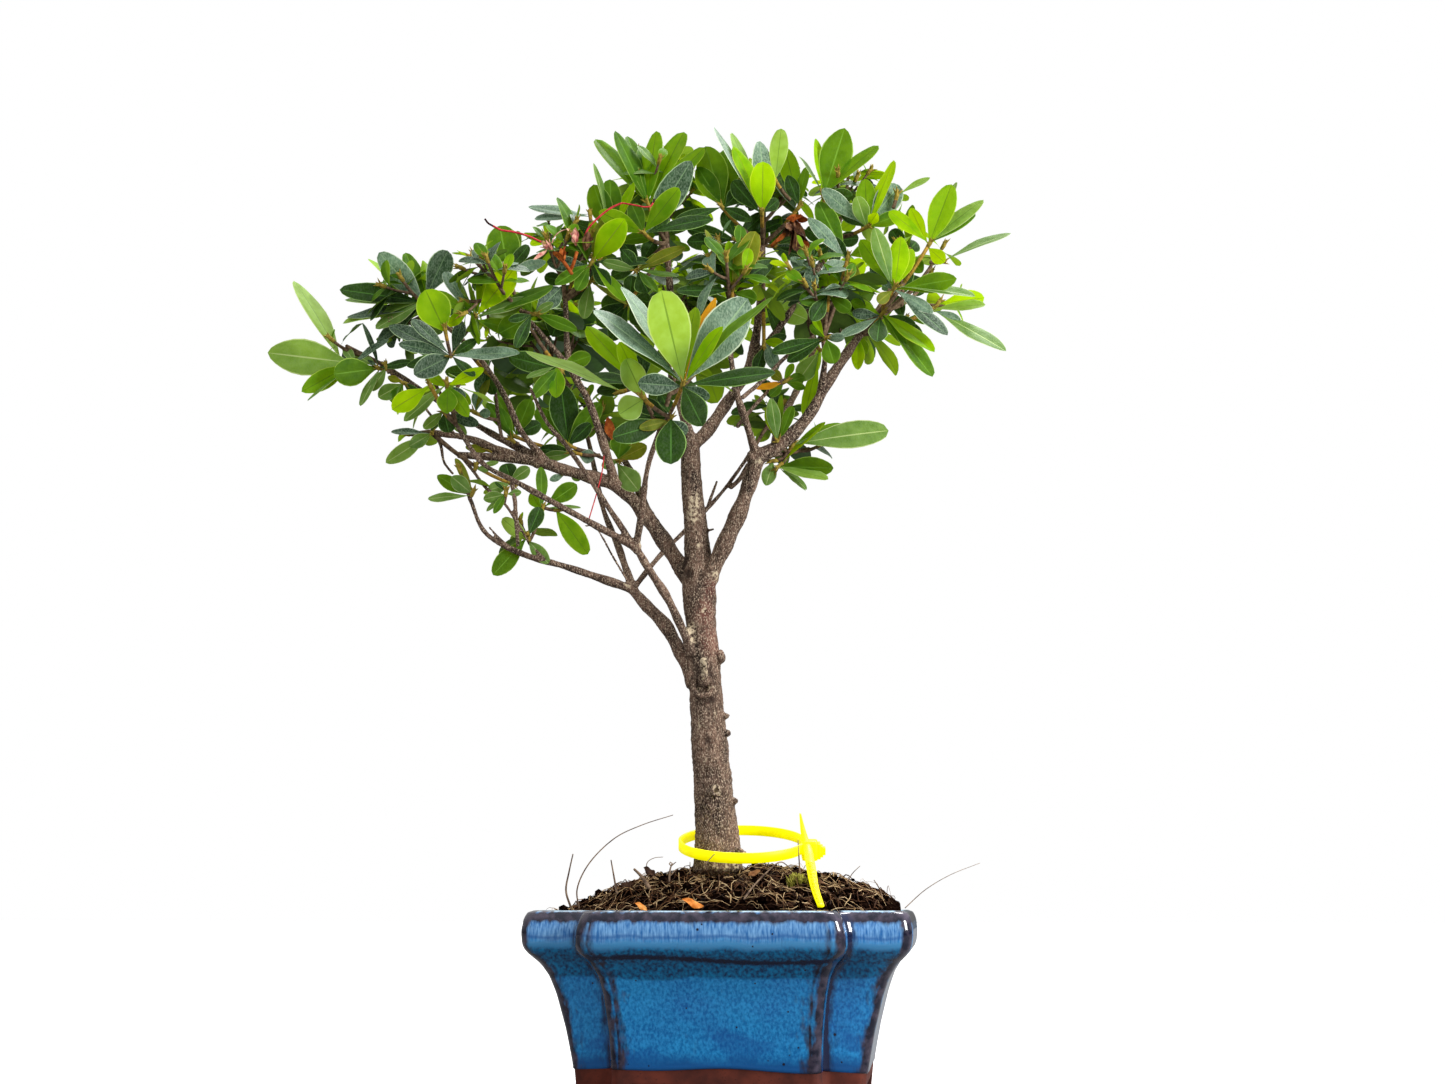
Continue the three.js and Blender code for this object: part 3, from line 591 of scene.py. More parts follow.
def make_glaze():
    finish = Finish("blue_glaze", 0.25, 0.1)
    finish.set("Coat Weight", 1.0)
    finish.set("Coat Roughness", 0.03)
    tree = finish.tree
    fur = finish.mottle("005A9E", "34A2E4", 850, 0.37, 0.63, 0.7)
    pools = finish.mottle("005CA4", "0684C4", 34, 0.36, 0.6)
    finish.tone = mixed(tree, 0.45, fur["Color"], pools["Color"])
    spot = tree.nodes.new("ShaderNodeTexCoord")
    upright = tree.nodes.new("ShaderNodeSeparateXYZ")
    tree.links.new(spot.outputs["Object"], upright.inputs["Vector"])
    level = added(tree, finish.mask(60, 0.3, 0.7), WANDER * MM, upright.outputs["Z"])
    low = glaze_band(tree, level, "puddles")
    puddles = calculated(tree, "MULTIPLY", finish.mask(34, 0.52, 0.6, 2.4), low)
    finish.lay(ranged(tree, puddles, 0.0, 2.0), "004A94")
    # Thick glaze has run down to the foot. Under the rim the darker mottle is painted shade: the rim's shadow
    # and the dark reflection of what lies below.
    finish.lay(glaze_band(tree, level, "foot"), "065494")
    deep = finish.mottle("00345E", "007CB4", 700, 0.34, 0.66, 0.7)
    finish.lay(glaze_band(tree, level, "shade"), deep["Color"])
    finish.lay(glaze_band(tree, level, "roll"), "3E88BC")
    streaks = finish.mottle("2868A8", "7EB2E2", 1100, 0.34, 0.7, 0.16)
    finish.lay(glaze_band(tree, level, "lip"), streaks["Color"])
    finish.lay(ranged(tree, glaze_band(tree, level, "line"), 0.0, 1.5), "1E5EA0")
    # A painted highlight: a thin pale line along the top of the rim.
    finish.lay(glaze_band(tree, upright.outputs["Z"], "edge"), "B4D6EE")
    # Where the edges shed the glaze the mauve body shows through. In the creases the glaze pools navy, and
    # the navy there and along the wavy line under the rim is also painted shade.
    ragged = finish.mask(330, 0.3, 0.7, 0.3)
    mauve = finish.mottle("0A0C24", "463E4E", 260, 0.4, 0.68)
    thin = added(tree, ragged, 0.6, attribute(tree, "thin_glaze"))
    finish.lay(ranged(tree, thin, 0.55, 1.0), mauve["Color"])
    pooled_and_shaded = added(tree, ragged, 0.5, attribute(tree, "pooled_and_shaded_glaze"))
    finish.lay(ranged(tree, pooled_and_shaded, 0.5, 1.0), "041238")
    for scale, size, share in ((230.0, 0.12, 0.16), (90.0, 0.07, 0.2)):
        pits = finish.place(SPECKS, Scale=scale, Size=size, Share=share)
        finish.lay(ranged(tree, pits["Mask"], 0.0, 0.4), "0A0E26")
    finish.bump(fur["Mask"], 0.03, 0.5)
    return finish.done()


# %% The glazed skin
GLAZE_START = (12.0, 20.0)  # heights between which the glaze's lower edge wanders
# How far each of the lowest rings lies above that edge, and how proud of the clay it stands: a rounded bead.
BEAD = [(-0.15, 0.02), (0.0, 0.2), (0.45, 0.55), (1.4, 0.35), (2.6, 0.35), (3.8, 0.35)]
WALL = [(20.5, 52, 22), (53, 78, 38), (78.4, 81, 12)]  # from, to, number of rings
OVER_RIM = [(81.1, 2.5), (80.6, 4.0), (79.5, 5.0), (76, 5.6), (70, 6.0)]  # height, inset
SHED = {"height": 78.5, "width": 2.4, "depth": 1.15}  # the roll of the rim sheds its glaze
# How much of the glaze's wear and of the painted shade carries over the rim to the inside.
INNER_WEAR_AND_SHADE = 0.4


def mark(mesh, name, values):
    """Writes a value for each point that a finish can read."""
    mesh.attributes.new(name, "FLOAT", "POINT").data.foreach_set("value", values.astype(np.float32))


def rim_shadow_line(ring):
    """How near each point lies to the wavy dark line under the rim of the long sides, a painted shadow of the
    rim.
    """
    height = RIM_SHADOW_LINE["height"] + RIM_SHADOW_LINE["wave"] * np.cos((ring[:, 0] + 30) * RIM_SHADOW_LINE["pace"])
    on_flat = np.clip((np.abs(ring[:, 1]) - np.abs(ring[:, 1]).max() + 3) / 2, 0, 1)
    return RIM_SHADOW_LINE["depth"] * on_flat * np.exp(-(((ring[:, 2] - height) / RIM_SHADOW_LINE["width"]) ** 2))


def make_glazed_skin():
    """The outside of the pot from the glaze line up over the rim and a little way down inside."""
    start, end = GLAZE_START
    low, near = notched_outline(smooth_profile(start), start)
    high, _ = notched_outline(smooth_profile(end), end)
    line = glaze_line(low)
    rings, glaze_wear_and_shade = [], []
    for lift, proud in BEAD:
        share = (line + lift - start) / (end - start)
        rings.append(pushed_out(low + (high - low) * share[:, None], proud))
        glaze_wear_and_shade.append(near)
    for height in np.concatenate([np.linspace(*span) for span in WALL]):
        ring, near = notched_outline(smooth_profile(height), height, POT["glaze"])
        shed = SHED["depth"] * math.exp(-(((height - SHED["height"]) / SHED["width"]) ** 2))
        rings.append(ring)
        glaze_wear_and_shade.append(np.column_stack([np.maximum(near[:, 0], shed), np.maximum(near[:, 1], rim_shadow_line(ring))]))
    for height, inset in OVER_RIM:
        ring, near = notched_outline(smooth_profile(min(height, 80)) - inset, height)
        rings.append(ring)
        glaze_wear_and_shade.append(near * INNER_WEAR_AND_SHADE)
    faces = loft_faces(len(rings), len(low))
    skin = mesh_piece("pot_glaze", np.vstack(rings), faces, [make_glaze()])
    for name, values in zip(("thin_glaze", "pooled_and_shaded_glaze"), np.vstack(glaze_wear_and_shade).T):
        mark(skin.data, name, values)
    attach(skin, BODY)
    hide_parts("pot")
    print("pot_glaze:", len(skin.data.polygons), "faces")


make_glazed_skin()


# %% The clay under it
CLAY_UNDER = 0.9  # millimetres that the clay stays inside the glaze
FOOT_LEVELS = (0, 0.6, 2, 5, 9, 12, 14, 16)
CAVITY_LEVELS = (76, 60, 40, POT["floor"])
SOLE = 0.992  # share of its size that the lowest ring keeps, for a worn edge


def make_clay():
    finish = Finish("fired_clay", 0.82)
    finish.tone = finish.mottle("481A10", "6A2C1C", 120, 0.35, 0.65)["Color"]
    grains = finish.place(SPECKS, Scale=900.0, Size=0.35, Share=0.35)
    finish.lay(grains["Mask"], "3A1710")
    finish.bump(grains["Mask"], 0.12, 0.7)
    return finish.done()


def clay_ring(height, inset):
    return notched_outline(smooth_profile(height) - inset, height)[0]


def make_cutter():
    """What is cut out of the clay: the gaps between the feet, and the two drain holes."""
    cutter = bmesh.new()
    for length, width in ((FEET["long"], 300.0), (300.0, FEET["short"])):
        made = bmesh.ops.create_cube(cutter, size=1.0)["verts"]
        bmesh.ops.scale(cutter, verts=made, vec=(length * MM, width * MM, 2 * FEET["height"] * MM))
        bmesh.ops.translate(cutter, verts=made, vec=(POT_AXIS.x, POT_AXIS.y, 0))
    size = {"radius1": DRAIN["radius"] * MM, "radius2": DRAIN["radius"] * MM, "depth": 0.06}
    for side in (-1, 1):
        made = bmesh.ops.create_cone(cutter, cap_ends=True, segments=32, **size)["verts"]
        bmesh.ops.translate(cutter, verts=made, vec=(POT_AXIS.x + side * DRAIN["offset"] * MM, POT_AXIS.y, 0))
    mesh = bpy.data.meshes.new("cutters")
    cutter.to_mesh(mesh)
    cutter.free()
    return linked(bpy.data.objects.new("cutters", mesh))


def make_clay_body():
    """The whole pot of clay, just inside the glaze: outside, cavity, and the feet cut out under it."""
    rings = [clay_ring(height, 0) for height in FOOT_LEVELS]
    rings[0][:, :2] *= SOLE
    rings += [clay_ring(height, CLAY_UNDER) for height in np.linspace(19, 78, 30)]
    rings += [clay_ring(height, POT["wall"]) for height in CAVITY_LEVELS]
    faces = loft_faces(len(rings), len(rings[0]), ends="capped")
    clay = mesh_piece("pot_clay", np.vstack(rings), faces, [make_clay()])
    cutter = make_cutter()
    cut = clay.modifiers.new("feet", "BOOLEAN")
    cut.object = cutter
    cut.operation = "DIFFERENCE"
    cut.use_self = True
    apply_modifiers(clay)
    bpy.data.objects.remove(cutter)
    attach(clay, BODY)
    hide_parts("pot")
    print("pot_clay:", len(clay.data.polygons), "faces")


def apply_modifiers(piece):
    """Writes what the modifiers make into the piece's own mesh."""
    depsgraph = bpy.context.evaluated_depsgraph_get()
    made = bpy.data.meshes.new_from_object(piece.evaluated_get(depsgraph))
    piece.modifiers.clear()
    old = piece.data
    piece.data = made
    bpy.data.meshes.remove(old)


make_clay_body()

# %% [markdown]
# ## The soil
# The mound is old root-bound soil: dark crumbs held together by a mat of tan root fibres. The ground itself
# is one skin, from the wall up to the trunk, roughened by two sizes of noise. Fibres and crumbs lie on it
# as their own small pieces, since they catch the light and break the mound's edge as bumps never would.

# %% The mound
SOIL = {"edge": 79.8, "rise": 20.5, "top": 6.0, "reach": (84.0, 60.0), "lump": 1.2, "rings": 46, "inset": 5.9}
CRUMBLE = {"coarse": 1.6, "coarse_pace": 0.16, "fine": 0.7, "fine_pace": 0.55}
HOLLOW = {"x": -2.5, "y": -13.5, "wide": 11.5, "long": 13.0, "deep": 8.0}
TRUNK_FOOT = np.array([-5.0, 0.0, 99.5])


def soil_height(x, y):
    """The solid's own height at a place of the pot's frame, lumps included."""
    inward = max(0.0, 1 - ((x - SOIL["top"]) / SOIL["reach"][0]) ** 2 - (y / SOIL["reach"][1]) ** 2)
    lumps = math.sin(x * 0.31 + 1.3) * math.cos(y * 0.37) + math.sin(x * 0.13 - y * 0.21)
    return SOIL["edge"] + SOIL["rise"] * inward + SOIL["lump"] * lumps * math.sqrt(inward)


def ground_at(x, y, rough=1.0):
    """The soil's height with its crumbly relief, and the hollow washed out before the trunk's foot."""
    place = Vector((x, y, 3.0))
    from_hollow = ((x - HOLLOW["x"]) / HOLLOW["wide"]) ** 2 + ((y - HOLLOW["y"]) / HOLLOW["long"]) ** 2
    relief = CRUMBLE["coarse"] * noise.fractal(place * CRUMBLE["coarse_pace"], 1.0, 2.0, 4)
    relief += CRUMBLE["fine"] * noise.noise(place * CRUMBLE["fine_pace"])
    return soil_height(x, y) + (relief - HOLLOW["deep"] * math.exp(-from_hollow)) * rough


def make_earth():
    finish = Finish("damp_earth", 0.95, 0.0)
    earth = finish.mottle("030101", "160C08", 420, 0.4, 0.65)
    finish.tone = earth["Color"]
    finish.lay(finish.place(SPECKS, Scale=650.0, Size=0.4, Share=0.25)["Mask"], "402C1E")
    finish.bump(earth["Mask"], 0.7)
    return finish.done()


def make_mound():
    """Rings from under the rim up to the trunk, smooth along the wall and rough further in."""
    outline, _ = notched_outline(smooth_profile(78) - SOIL["inset"], 78)
    low = outline.copy()
    low[:, 2] = 72.0
    foot = turned(TRUNK_FOOT, TREE_TURN)[0]
    levels = [low]
    for share in np.arange(SOIL["rings"] + 1) / SOIL["rings"]:
        level = outline.copy()
        level[:, :2] += (foot[:2] - level[:, :2]) * share
        level[:, 2] = [ground_at(x, y, min(1, 6 * share + 0.3)) for x, y, _ in level]
        levels.append(level)
    faces = loft_faces(len(levels), len(outline))
    mound = mesh_piece("soil_mound", np.vstack(levels), faces, [make_earth()])
    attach(mound, BODY)
    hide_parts("soil")
    print("soil_mound:", len(mound.data.polygons), "faces")


make_mound()


# %% The mat of fibres
FIBRES = [
    # how many, finish, colour pair, radii, lengths, highest arch
    (620, "tan_fibre", ("8A6B45", "CDB288"), (0.1, 0.27), (7, 26), 2.2),
    (1250, "brown_fibre", ("160A06", "54361F"), (0.14, 0.38), (6, 24), 2.0),
    (80, "loose_fibre", ("5A3C26", "8A6644"), (0.1, 0.17), (8, 20), 6.0),
]
FIBRE = {"curl": 1.6, "steps": 7, "flattest": 0.2, "above": 0.25, "thinner": 0.6}
INSIDE = {"x": 76.0, "y": 57.0, "notch": (24, 12)}


def lies_inside(x, y, margin=0.0):
    half_x, half_y = INSIDE["x"] - margin, INSIDE["y"] - margin
    in_notch = abs(x) > half_x - INSIDE["notch"][0] and abs(y) > half_y - INSIDE["notch"][1]
    return abs(x) < half_x and abs(y) < half_y and not in_notch


def somewhere(draw, margin=0.0):
    half_x, half_y = INSIDE["x"] - margin, INSIDE["y"] - margin
    return between((-half_x, half_x), draw()), between((-half_y, half_y), draw())


def plain_finish(name, first, second, roughness, scale=300.0):
    finish = Finish(name, roughness, 0.15)
    clouds = finish.mottle(first, second, scale, 0.35, 0.65)
    finish.tone = clouds["Color"]
    finish.bump(clouds["Mask"], 0.15, 0.6)
    return finish.done()


def scatter_fibres():
    draw = seeded(41)
    for count, name, colours, radii, lengths, highest in FIBRES:
        mat = Gathered()
        while len(mat.points) < count:
            x, y = somewhere(draw)
            if not lies_inside(x, y):
                continue
            heading = 2 * math.pi * draw()
            length = between(lengths, draw() ** 1.6)
            curl = between((-FIBRE["curl"], FIBRE["curl"]), draw())
            lift = between((FIBRE["flattest"] * highest, highest), draw() ** 2)
            shares = np.linspace(0, 1, FIBRE["steps"])
            path = []
            for share in shares:
                path.append([x, y, 0])
                x += math.cos(heading + curl * share) * length / FIBRE["steps"]
                y += math.sin(heading + curl * share) * length / FIBRE["steps"]
            path = np.array(path)
            if not all(lies_inside(px, py, -2) for px, py, _ in path):
                continue
            arch = lift * np.sin(math.pi * shares) + FIBRE["above"]
            path[:, 2] = [ground_at(px, py) for px, py, _ in path] + arch
            mat.add(*tube(path, between(radii, draw()) * (1 - FIBRE["thinner"] * shares), 4))
        piece = mat.build(f"soil_{name}", [plain_finish(name, *colours, 0.9)], "soil", turn=0.0)
        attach(piece, BODY)


# %% Crumbs
CRUMB = {"count": 700, "size": (0.7, 2.6), "long": (0.5, 1), "high": (0.4, 0.9), "lump": 0.25, "above": 0.3}


def scatter_crumbs():
    draw = seeded(43)
    ball = bmesh.new()
    bmesh.ops.create_icosphere(ball, subdivisions=1, radius=1.0)
    corners, faces = unpacked(ball)
    crumbs = Gathered()
    while len(crumbs.points) < CRUMB["count"]:
        x, y = somewhere(draw, 1.0)
        if not lies_inside(x, y):
            continue
        size = between(CRUMB["size"], draw() ** 2)
        shape = corners * [1, between(CRUMB["long"], draw()), between(CRUMB["high"], draw())]
        lumps = [noise.noise(Vector(corner * 3) + Vector((x, y, 0))) for corner in shape]
        shape = turned(shape * (1 + CRUMB["lump"] * np.array(lumps))[:, None], 2 * math.pi * draw())
        level = ground_at(x, y) + CRUMB["above"] * size
        crumbs.add(shape * size + [x, y, level], faces)
    piece = crumbs.build("soil_crumbs", [make_earth()], "soil", turn=0.0, smooth=False)
    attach(piece, BODY)


scatter_fibres()
scatter_crumbs()

# %% [markdown]
# ## Trunk and boughs
# The wood forks many times, and a bough grows out of its parent in a smooth collar. Separate tubes would
# show a seam at every fork. Here all the tubes are pushed into each other and remeshed into one skin, which
# rounds each crotch; then noise that is stretched along the wood lifts the bark. The routes are the
# solids', but a few are moved by up to three millimetres to follow the photograph.

# %% Routes of the trunk and the limbs
TRUNK = {
    "points": [
        (-5, 0, 92), (-5.5, 0, 113), (-7.4, 0, 138), (-9.8, 0, 167), (-11.6, 0, 196),
        (-14.1, 0, 228), (-15.8, 0, 262), (-18, 0, 284), (-19.2, 0, 308),
    ],
    "radius": (10.6, 4.7),
    "flare": (3.4, 0.055),
    "fork": (1.6, 0.66, 0.07),
}
# Places on the trunk as the photograph shows them, each with its depth, its size and how tall it is for that.
KNOTS = [
    # a swollen ring under a peg, then small old leaf joints on the outline
    ((701, 687, -4), 4.4, 1.5), ((720, 657, -3), 2.7, 1.3), ((726, 716, -2), 1.9, 0.8),
    ((727, 733, -3), 2.1, 0.9), ((735, 801, -3), 1.9, 0.9), ((691, 634, -3), 3.4, 1.5),
    ((713, 577, -3), 3.0, 1.4), ((694, 507, -1), 3.4, 1.9), ((722, 770, -2), 1.4, 1.1),
    ((683, 570, 0), 2.8, 1.2),
]
PEG = {
    "foot": (704, 684, -9), "tip": (703.5, 659, -18),
    "radius": 1.9, "swell": (1.3, 1.1, 1, 0.95, 1.05, 0.9),
}
RINGS = [((703, 686, -10.2), 4.9, 1.3), ((716, 791, -10.8), 2.1, 0.85)]
SPUR = [(728, 846, -6), (738, 851, -7), (745, 856, -7)]
# Each limb: its radius at the foot and the tip, then the points that it bends through.
LIMBS = {
    "bough_right": [4.5, 3.7, (-12, -3, 234), (-2, -7, 254), (6.5, -11, 273), (14.5, -15, 296)],
    "bough_right_outer": [
        3.5, 2.2, (14, -15, 296), (24, -16, 301), (38, -16, 315), (50, -15, 336), (66, -12, 361),
    ],
    "bough_right_inner": [2.1, 1.4, (14, -15, 296), (9, -19, 311), (4, -24, 326), (0, -28, 352)],
    "bough_right_upper": [1.7, 1.2, (45, -15, 328), (47, -24, 342), (46, -30, 352)],
    "bough_right_back": [2.2, 1.4, (22, -15, 300), (28, 8, 324), (38, 32, 350), (44, 44, 368)],
    "twig_right": [1.4, 1.1, (18, -14, 297), (25, -10, 299), (30, -8, 300)],
    "leader_right": [
        3.4, 1.6, (-18, 0, 306), (-11, 2, 314), (-1, 6, 330), (10, 8, 349), (15, 8, 372), (18, 9, 418),
    ],
    "leader_right_fork": [2.1, 1.4, (8, 8, 345), (28, 7, 374), (46, 5, 402), (54, 5, 420)],
    "leader_left": [3.2, 1.6, (-19, 0, 306), (-24, 5, 335), (-28, 7, 370), (-32, 8, 418)],
    "bough_back": [2.4, 1.5, (-18, 3, 296), (-23, 30, 332), (-25, 52, 364), (-25, 62, 380)],
    "bough_left": [
        4.6, 2.7,
        (-15, 1, 232), (-26, 6, 250), (-41, 10, 272.5), (-56, 12, 288.5), (-77, 14, 296), (-98, 14, 302),
    ],
    "bough_left_far": [2.3, 1.6, (-98, 14, 302), (-116, 14, 308), (-133, 12, 314), (-150, 9, 316)],
    "bough_left_upper": [
        2, 1.2, (-96, 14, 304), (-117, 19, 316), (-138, 16, 328), (-160, 8, 341), (-172, 2, 348),
    ],
    "bough_left_rise": [
        1.8, 1.2, (-93, 14, 303), (-105, 9, 317), (-112, 5, 332), (-122, 3, 348), (-136, 2, 364),
    ],
    "bough_middle_rise": [
        2.3, 1.4, (-57, 12, 290), (-62, 6, 307), (-70, -2, 329), (-79, -6, 346), (-82, -9, 380),
    ],
    "bough_middle_fork": [1.5, 1.1, (-76, -5, 341), (-89, -14, 355), (-102, -25, 368)],
    "bough_left_back": [2.2, 1.4, (-40, 10, 274), (-54, 30, 308), (-76, 47, 342), (-86, 54, 356)],
    "bough_low": [3.7, 2.8, (-17, -1, 190.5), (-23, 2, 202), (-31, 8, 217), (-40, 12, 227), (-48, 15, 236.5)],
    "bough_low_left": [
        2.2, 1, (-48, 15, 236.5), (-81, 8, 246.5), (-100, 2, 251), (-119, -2, 261), (-127, -5, 278),
    ],
    "twig_low_middle": [1.1, 0.9, (-92, 4, 250), (-99, 9, 259)],
    "bough_low_rise": [2, 1.2, (-48, 15, 238), (-56, 23, 261), (-64, 30, 281), (-71, 31, 312)],
    "twig_low_cross": [1.4, 1, (-47, 15, 237), (-35, 28, 256), (-22, 34, 271), (-3, 36, 292), (14, 35, 316)],
    "bough_thin": [2.2, 1.9, (-18, -4, 203), (-29, -13, 226), (-38.5, -20, 240), (-44, -24, 249)],
    "bough_thin_front": [1.7, 1.2, (-44, -24, 249), (-41, -32, 264), (-38, -44, 282), (-32, -54, 298)],
    "bough_thin_left": [
        1.8, 1.1, (-44, -24, 249), (-67, -27, 261), (-101, -27, 280), (-118, -25, 290), (-133, -18, 312),
    ],
    "twig_dead": [
        1.5, 0.9, (-44, -24, 248), (-57, -30, 267), (-76, -38, 294), (-86, -40, 306), (-94, -42, 322),
    ],
}
# Bare twigs as the photograph shows them: radius at the foot and the tip, then the places that each passes.
BARE_TWIGS = [
    (2.5, 1.8, [(556, 465, 13), (522, 460, 14), (490, 457, 14), (458, 455, 13)]),
    (1.0, 0.7, [(436, 434, 12), (441, 446, 10), (444, 462, 8), (453, 474, 6)]),
    (1.0, 0.7, [(462, 457, 12), (474, 472, 8), (486, 488, 4), (504, 503, 2), (516, 521, 2), (528, 541, 4)]),
    (1.3, 1.0, [(512, 482, 4), (515, 502, 3), (516, 520, 2), (518, 546, 2)]),
    (0.7, 0.6, [(512, 549, 1), (498, 537, -1), (489, 527, -2)]),
    (0.65, 0.55, [(627, 580, 6), (612, 555, 3), (601, 535, 1), (594, 526, 0), (585, 526, 0)]),
    (1.1, 0.9, [(502, 440, 13), (498, 416, 11), (495, 386, 8)]),
    (0.9, 0.8, [(454, 433, 6), (439, 424, 0), (429, 413, -4), (422, 402, -8)]),
    (1.2, 1.0, [(742, 398, -18), (763, 380, -13), (787, 356, -11), (814, 336, -14)]),
    (1.2, 0.9, [(737, 427, -8), (757, 403, -6), (775, 385, -5), (786, 379, -4)]),
    (0.95, 0.7, [(708, 506, 33), (710, 500, 31), (713, 492, 30), (717, 481, 28)]),
    (1.4, 1.2, [(730, 488, 35), (739, 480, 33), (744, 472, 31), (748, 464, 30)]),
    (0.7, 0.6, [(706, 531, 0), (714, 529, -4)]),
]
# Each mass of leaves: its limb, its middle, how far its shoots spread, how many shoots, how many leaves on
# each, the longest leaf, and the seed of its draws.
MASSES = {
    "leaves_top_right": ["leader_right", (19, 9, 447), 15, 3, 9, 34, 13],
    "leaves_middle_left": ["bough_middle_rise", (-85, -6, 405), 17, 3, 9, 34, 15],
    "leaves_far_right": ["bough_right_outer", (98, -8, 390), 24, 4, 8, 44, 11],
    "leaves_right_top": ["leader_right_fork", (64, 5, 444), 16, 3, 9, 36, 12],
    "leaves_top_left": ["leader_left", (-34, 8, 446), 20, 4, 8, 36, 14],
    "leaves_front_left": ["bough_middle_fork", (-117, -34, 381), 15, 3, 8, 34, 16],
    "leaves_left": ["bough_left_rise", (-157, 3, 386), 16, 3, 9, 36, 17],
    "leaves_far_left": ["bough_left_upper", (-192, -5, 357), 8, 1, 10, 40, 18],
    "leaves_left_low": ["bough_thin_left", (-139, -16, 333), 10, 2, 6, 30, 19],
    "leaves_left_hanging": ["bough_left_far", (-157, 7, 315), 5, 1, 5, 30, 20],
    "leaves_low_left": ["bough_low_left", (-130, -6, 288), 5, 1, 5, 26, 21],
    "leaves_low_middle": ["twig_low_middle", (-103, 12, 267), 5, 1, 5, 32, 22],
    "leaves_front": ["bough_thin_front", (-24, -60, 326), 10, 2, 10, 44, 23],
    "leaves_middle": ["bough_right_inner", (2, -32, 388), 16, 3, 9, 34, 24],
    "leaves_right_middle": ["bough_right_upper", (46, -36, 376), 15, 3, 9, 34, 25],
    "leaves_right_spray": ["twig_right", (40, -6, 303), 6, 1, 7, 42, 26],
    "leaves_inner_left": ["bough_low_rise", (-76, 30, 332), 12, 2, 8, 32, 27],
    "leaves_inner_right": ["twig_low_cross", (24, 34, 334), 10, 2, 8, 32, 28],
    "leaves_back_left": ["bough_left_back", (-100, 64, 378), 22, 4, 8, 36, 29],
    "leaves_back": ["bough_back", (-26, 72, 404), 22, 4, 8, 36, 30],
    "leaves_back_right": ["bough_right_back", (54, 60, 394), 22, 4, 8, 36, 31],
}


# %% The bark's colours
def make_bark():
    finish = Finish("azalea_bark", 0.88, 0.2)
    tree = finish.tree
    bark = finish.mottle("1C1411", "705A4E", 700, 0.38, 0.62, 0.35)
    warm = finish.mottle("261A15", "8C6E5C", 110, 0.38, 0.62, 0.45)
    finish.tone = mixed(tree, 0.45, bark["Color"], warm["Color"])
    finish.lay(ranged(tree, attribute(tree, "red_bark"), 0.0, 2.0), "7C463E")
    flakes = finish.mask(1800, 0.5, 0.68, 0.6)
    finish.lay(flakes, "C8B29A")
    cracks = finish.mottle("FFFFFF", "000000", 900, 0.36, 0.47, 0.45)
    finish.lay(ranged(tree, cracks["Color"], 0.0, 1.5), "281D18")
    # Painted shade: dark patches beside the peg and in the forks.
    finish.lay(attribute(tree, "bark_painted_shade"), "2E211C")
    flecks = added(tree, finish.mask(620, 0.42, 0.58), 0.8, attribute(tree, "pale_scar"))
    finish.lay(ranged(tree, flecks, 0.9, 1.5), "CDBB9E")
    finish.bump(added(tree, flakes, 0.7, bark["Mask"]), 0.3, 0.8)
    return finish.done()


# %% Patches on the bark
# Each is a place on the wood's front as the photograph shows it, with its depth and its radius.
PATCHES = {
    "pale_scar": [
        ((704, 659, -19), 3.0), ((704, 667, -17), 2.8), ((704, 675, -14.5), 2.6), ((697, 690, -9), 1.6),
        ((711, 688, -9), 1.8), ((717, 711, -9), 2.0), ((698, 725, -9), 2.4), ((716, 790, -11), 2.0),
        ((690, 630, -6), 2.6), ((693, 640, -7), 2.0), ((695, 501, -6), 3.4), ((693, 514, -6), 3.2),
        ((715, 575, -6), 2.6), ((700, 545, -7), 1.4), ((706, 760, -9), 1.2), ((690, 820, -9), 1.4),
        ((704, 610, -8), 1.2), ((741, 462, -18), 2.4), ((758, 462, -19), 2.2), ((640, 545, -26), 1.8),
        ((628, 584, 12), 1.6), ((715, 868, -14), 2.4), ((728, 869, -13), 2.6), ((737, 866, -9), 2.0),
        ((704, 869, -12), 1.6),
    ],
    "red_bark": [((713, 640, -6), 5.0), ((707, 612, -7), 4.5), ((712, 588, -6), 3.5)],
    # painted shade beside the peg, in the forks and under the boughs
    "bark_painted_shade": [
        ((696, 672, -9), 2.6), ((712, 673, -9), 2.4), ((690, 575, -5), 2.4), ((683, 560, -4), 2.6),
        ((712, 700, -8), 1.6), ((694, 700, -8), 1.8), ((722, 850, -8), 1.8), ((702, 480, -6), 1.8),
        ((708, 740, -9), 1.6),
    ],
}


# %% One skin over all the wood
BARK = {
    "voxel": 0.62, "ring": 2.5, "full": 9.0, "least": 0.22, "collar": (0.35, 6),
    "tall": 0.6, "rag": (0.5, 0.9),
}
UNDERCUT = (0.45, 0.5, 0.7, 0.98)  # shares of the radius at the lowest rings, over the hollow in the soil
# Height of each kind of relief in millimetres, and how fast it changes along the wood.
RELIEF = {"lump": (0.55, 0.13), "knob": (0.32, 0.42), "flake": (0.3, 0.95)}
SWELLS = [(0.08, 0.9, 1), (0.06, 0.37, 2)]  # share of a limb's radius, pace along it, multiple of its phase


def trunk_radii(shares):
    first, last = TRUNK["radius"]
    flare, reach = TRUNK["flare"]
    fork, at, width = TRUNK["fork"]
    swollen = flare * np.exp(-shares / reach) + fork * np.exp(-(((shares - at) / width) ** 2))
    return first + (last - first) * shares**0.9 + swollen


def closed_ring(middle, radius, thickness):
    """A ring that faces the camera, for the lip of an old cut."""
    turns = np.linspace(0, 2 * math.pi, 15)
    path = middle + radius * np.column_stack([np.cos(turns), 0.15 * np.sin(turns), np.sin(turns)])
    return tube(path, thickness, 8)


def limb_radii(foot, tip, count, phase):
    """Tapering, with slight swellings along the limb and a collar at its foot."""
    steps = np.linspace(0, 1, count) * count
    swell = 1 + sum(share * np.sin(steps * pace + times * phase) for share, pace, times in SWELLS)
    wider, reach = BARK["collar"]
    return np.linspace(foot, tip, count) * swell + wider * foot * np.exp(-steps * BARK["ring"] / reach)


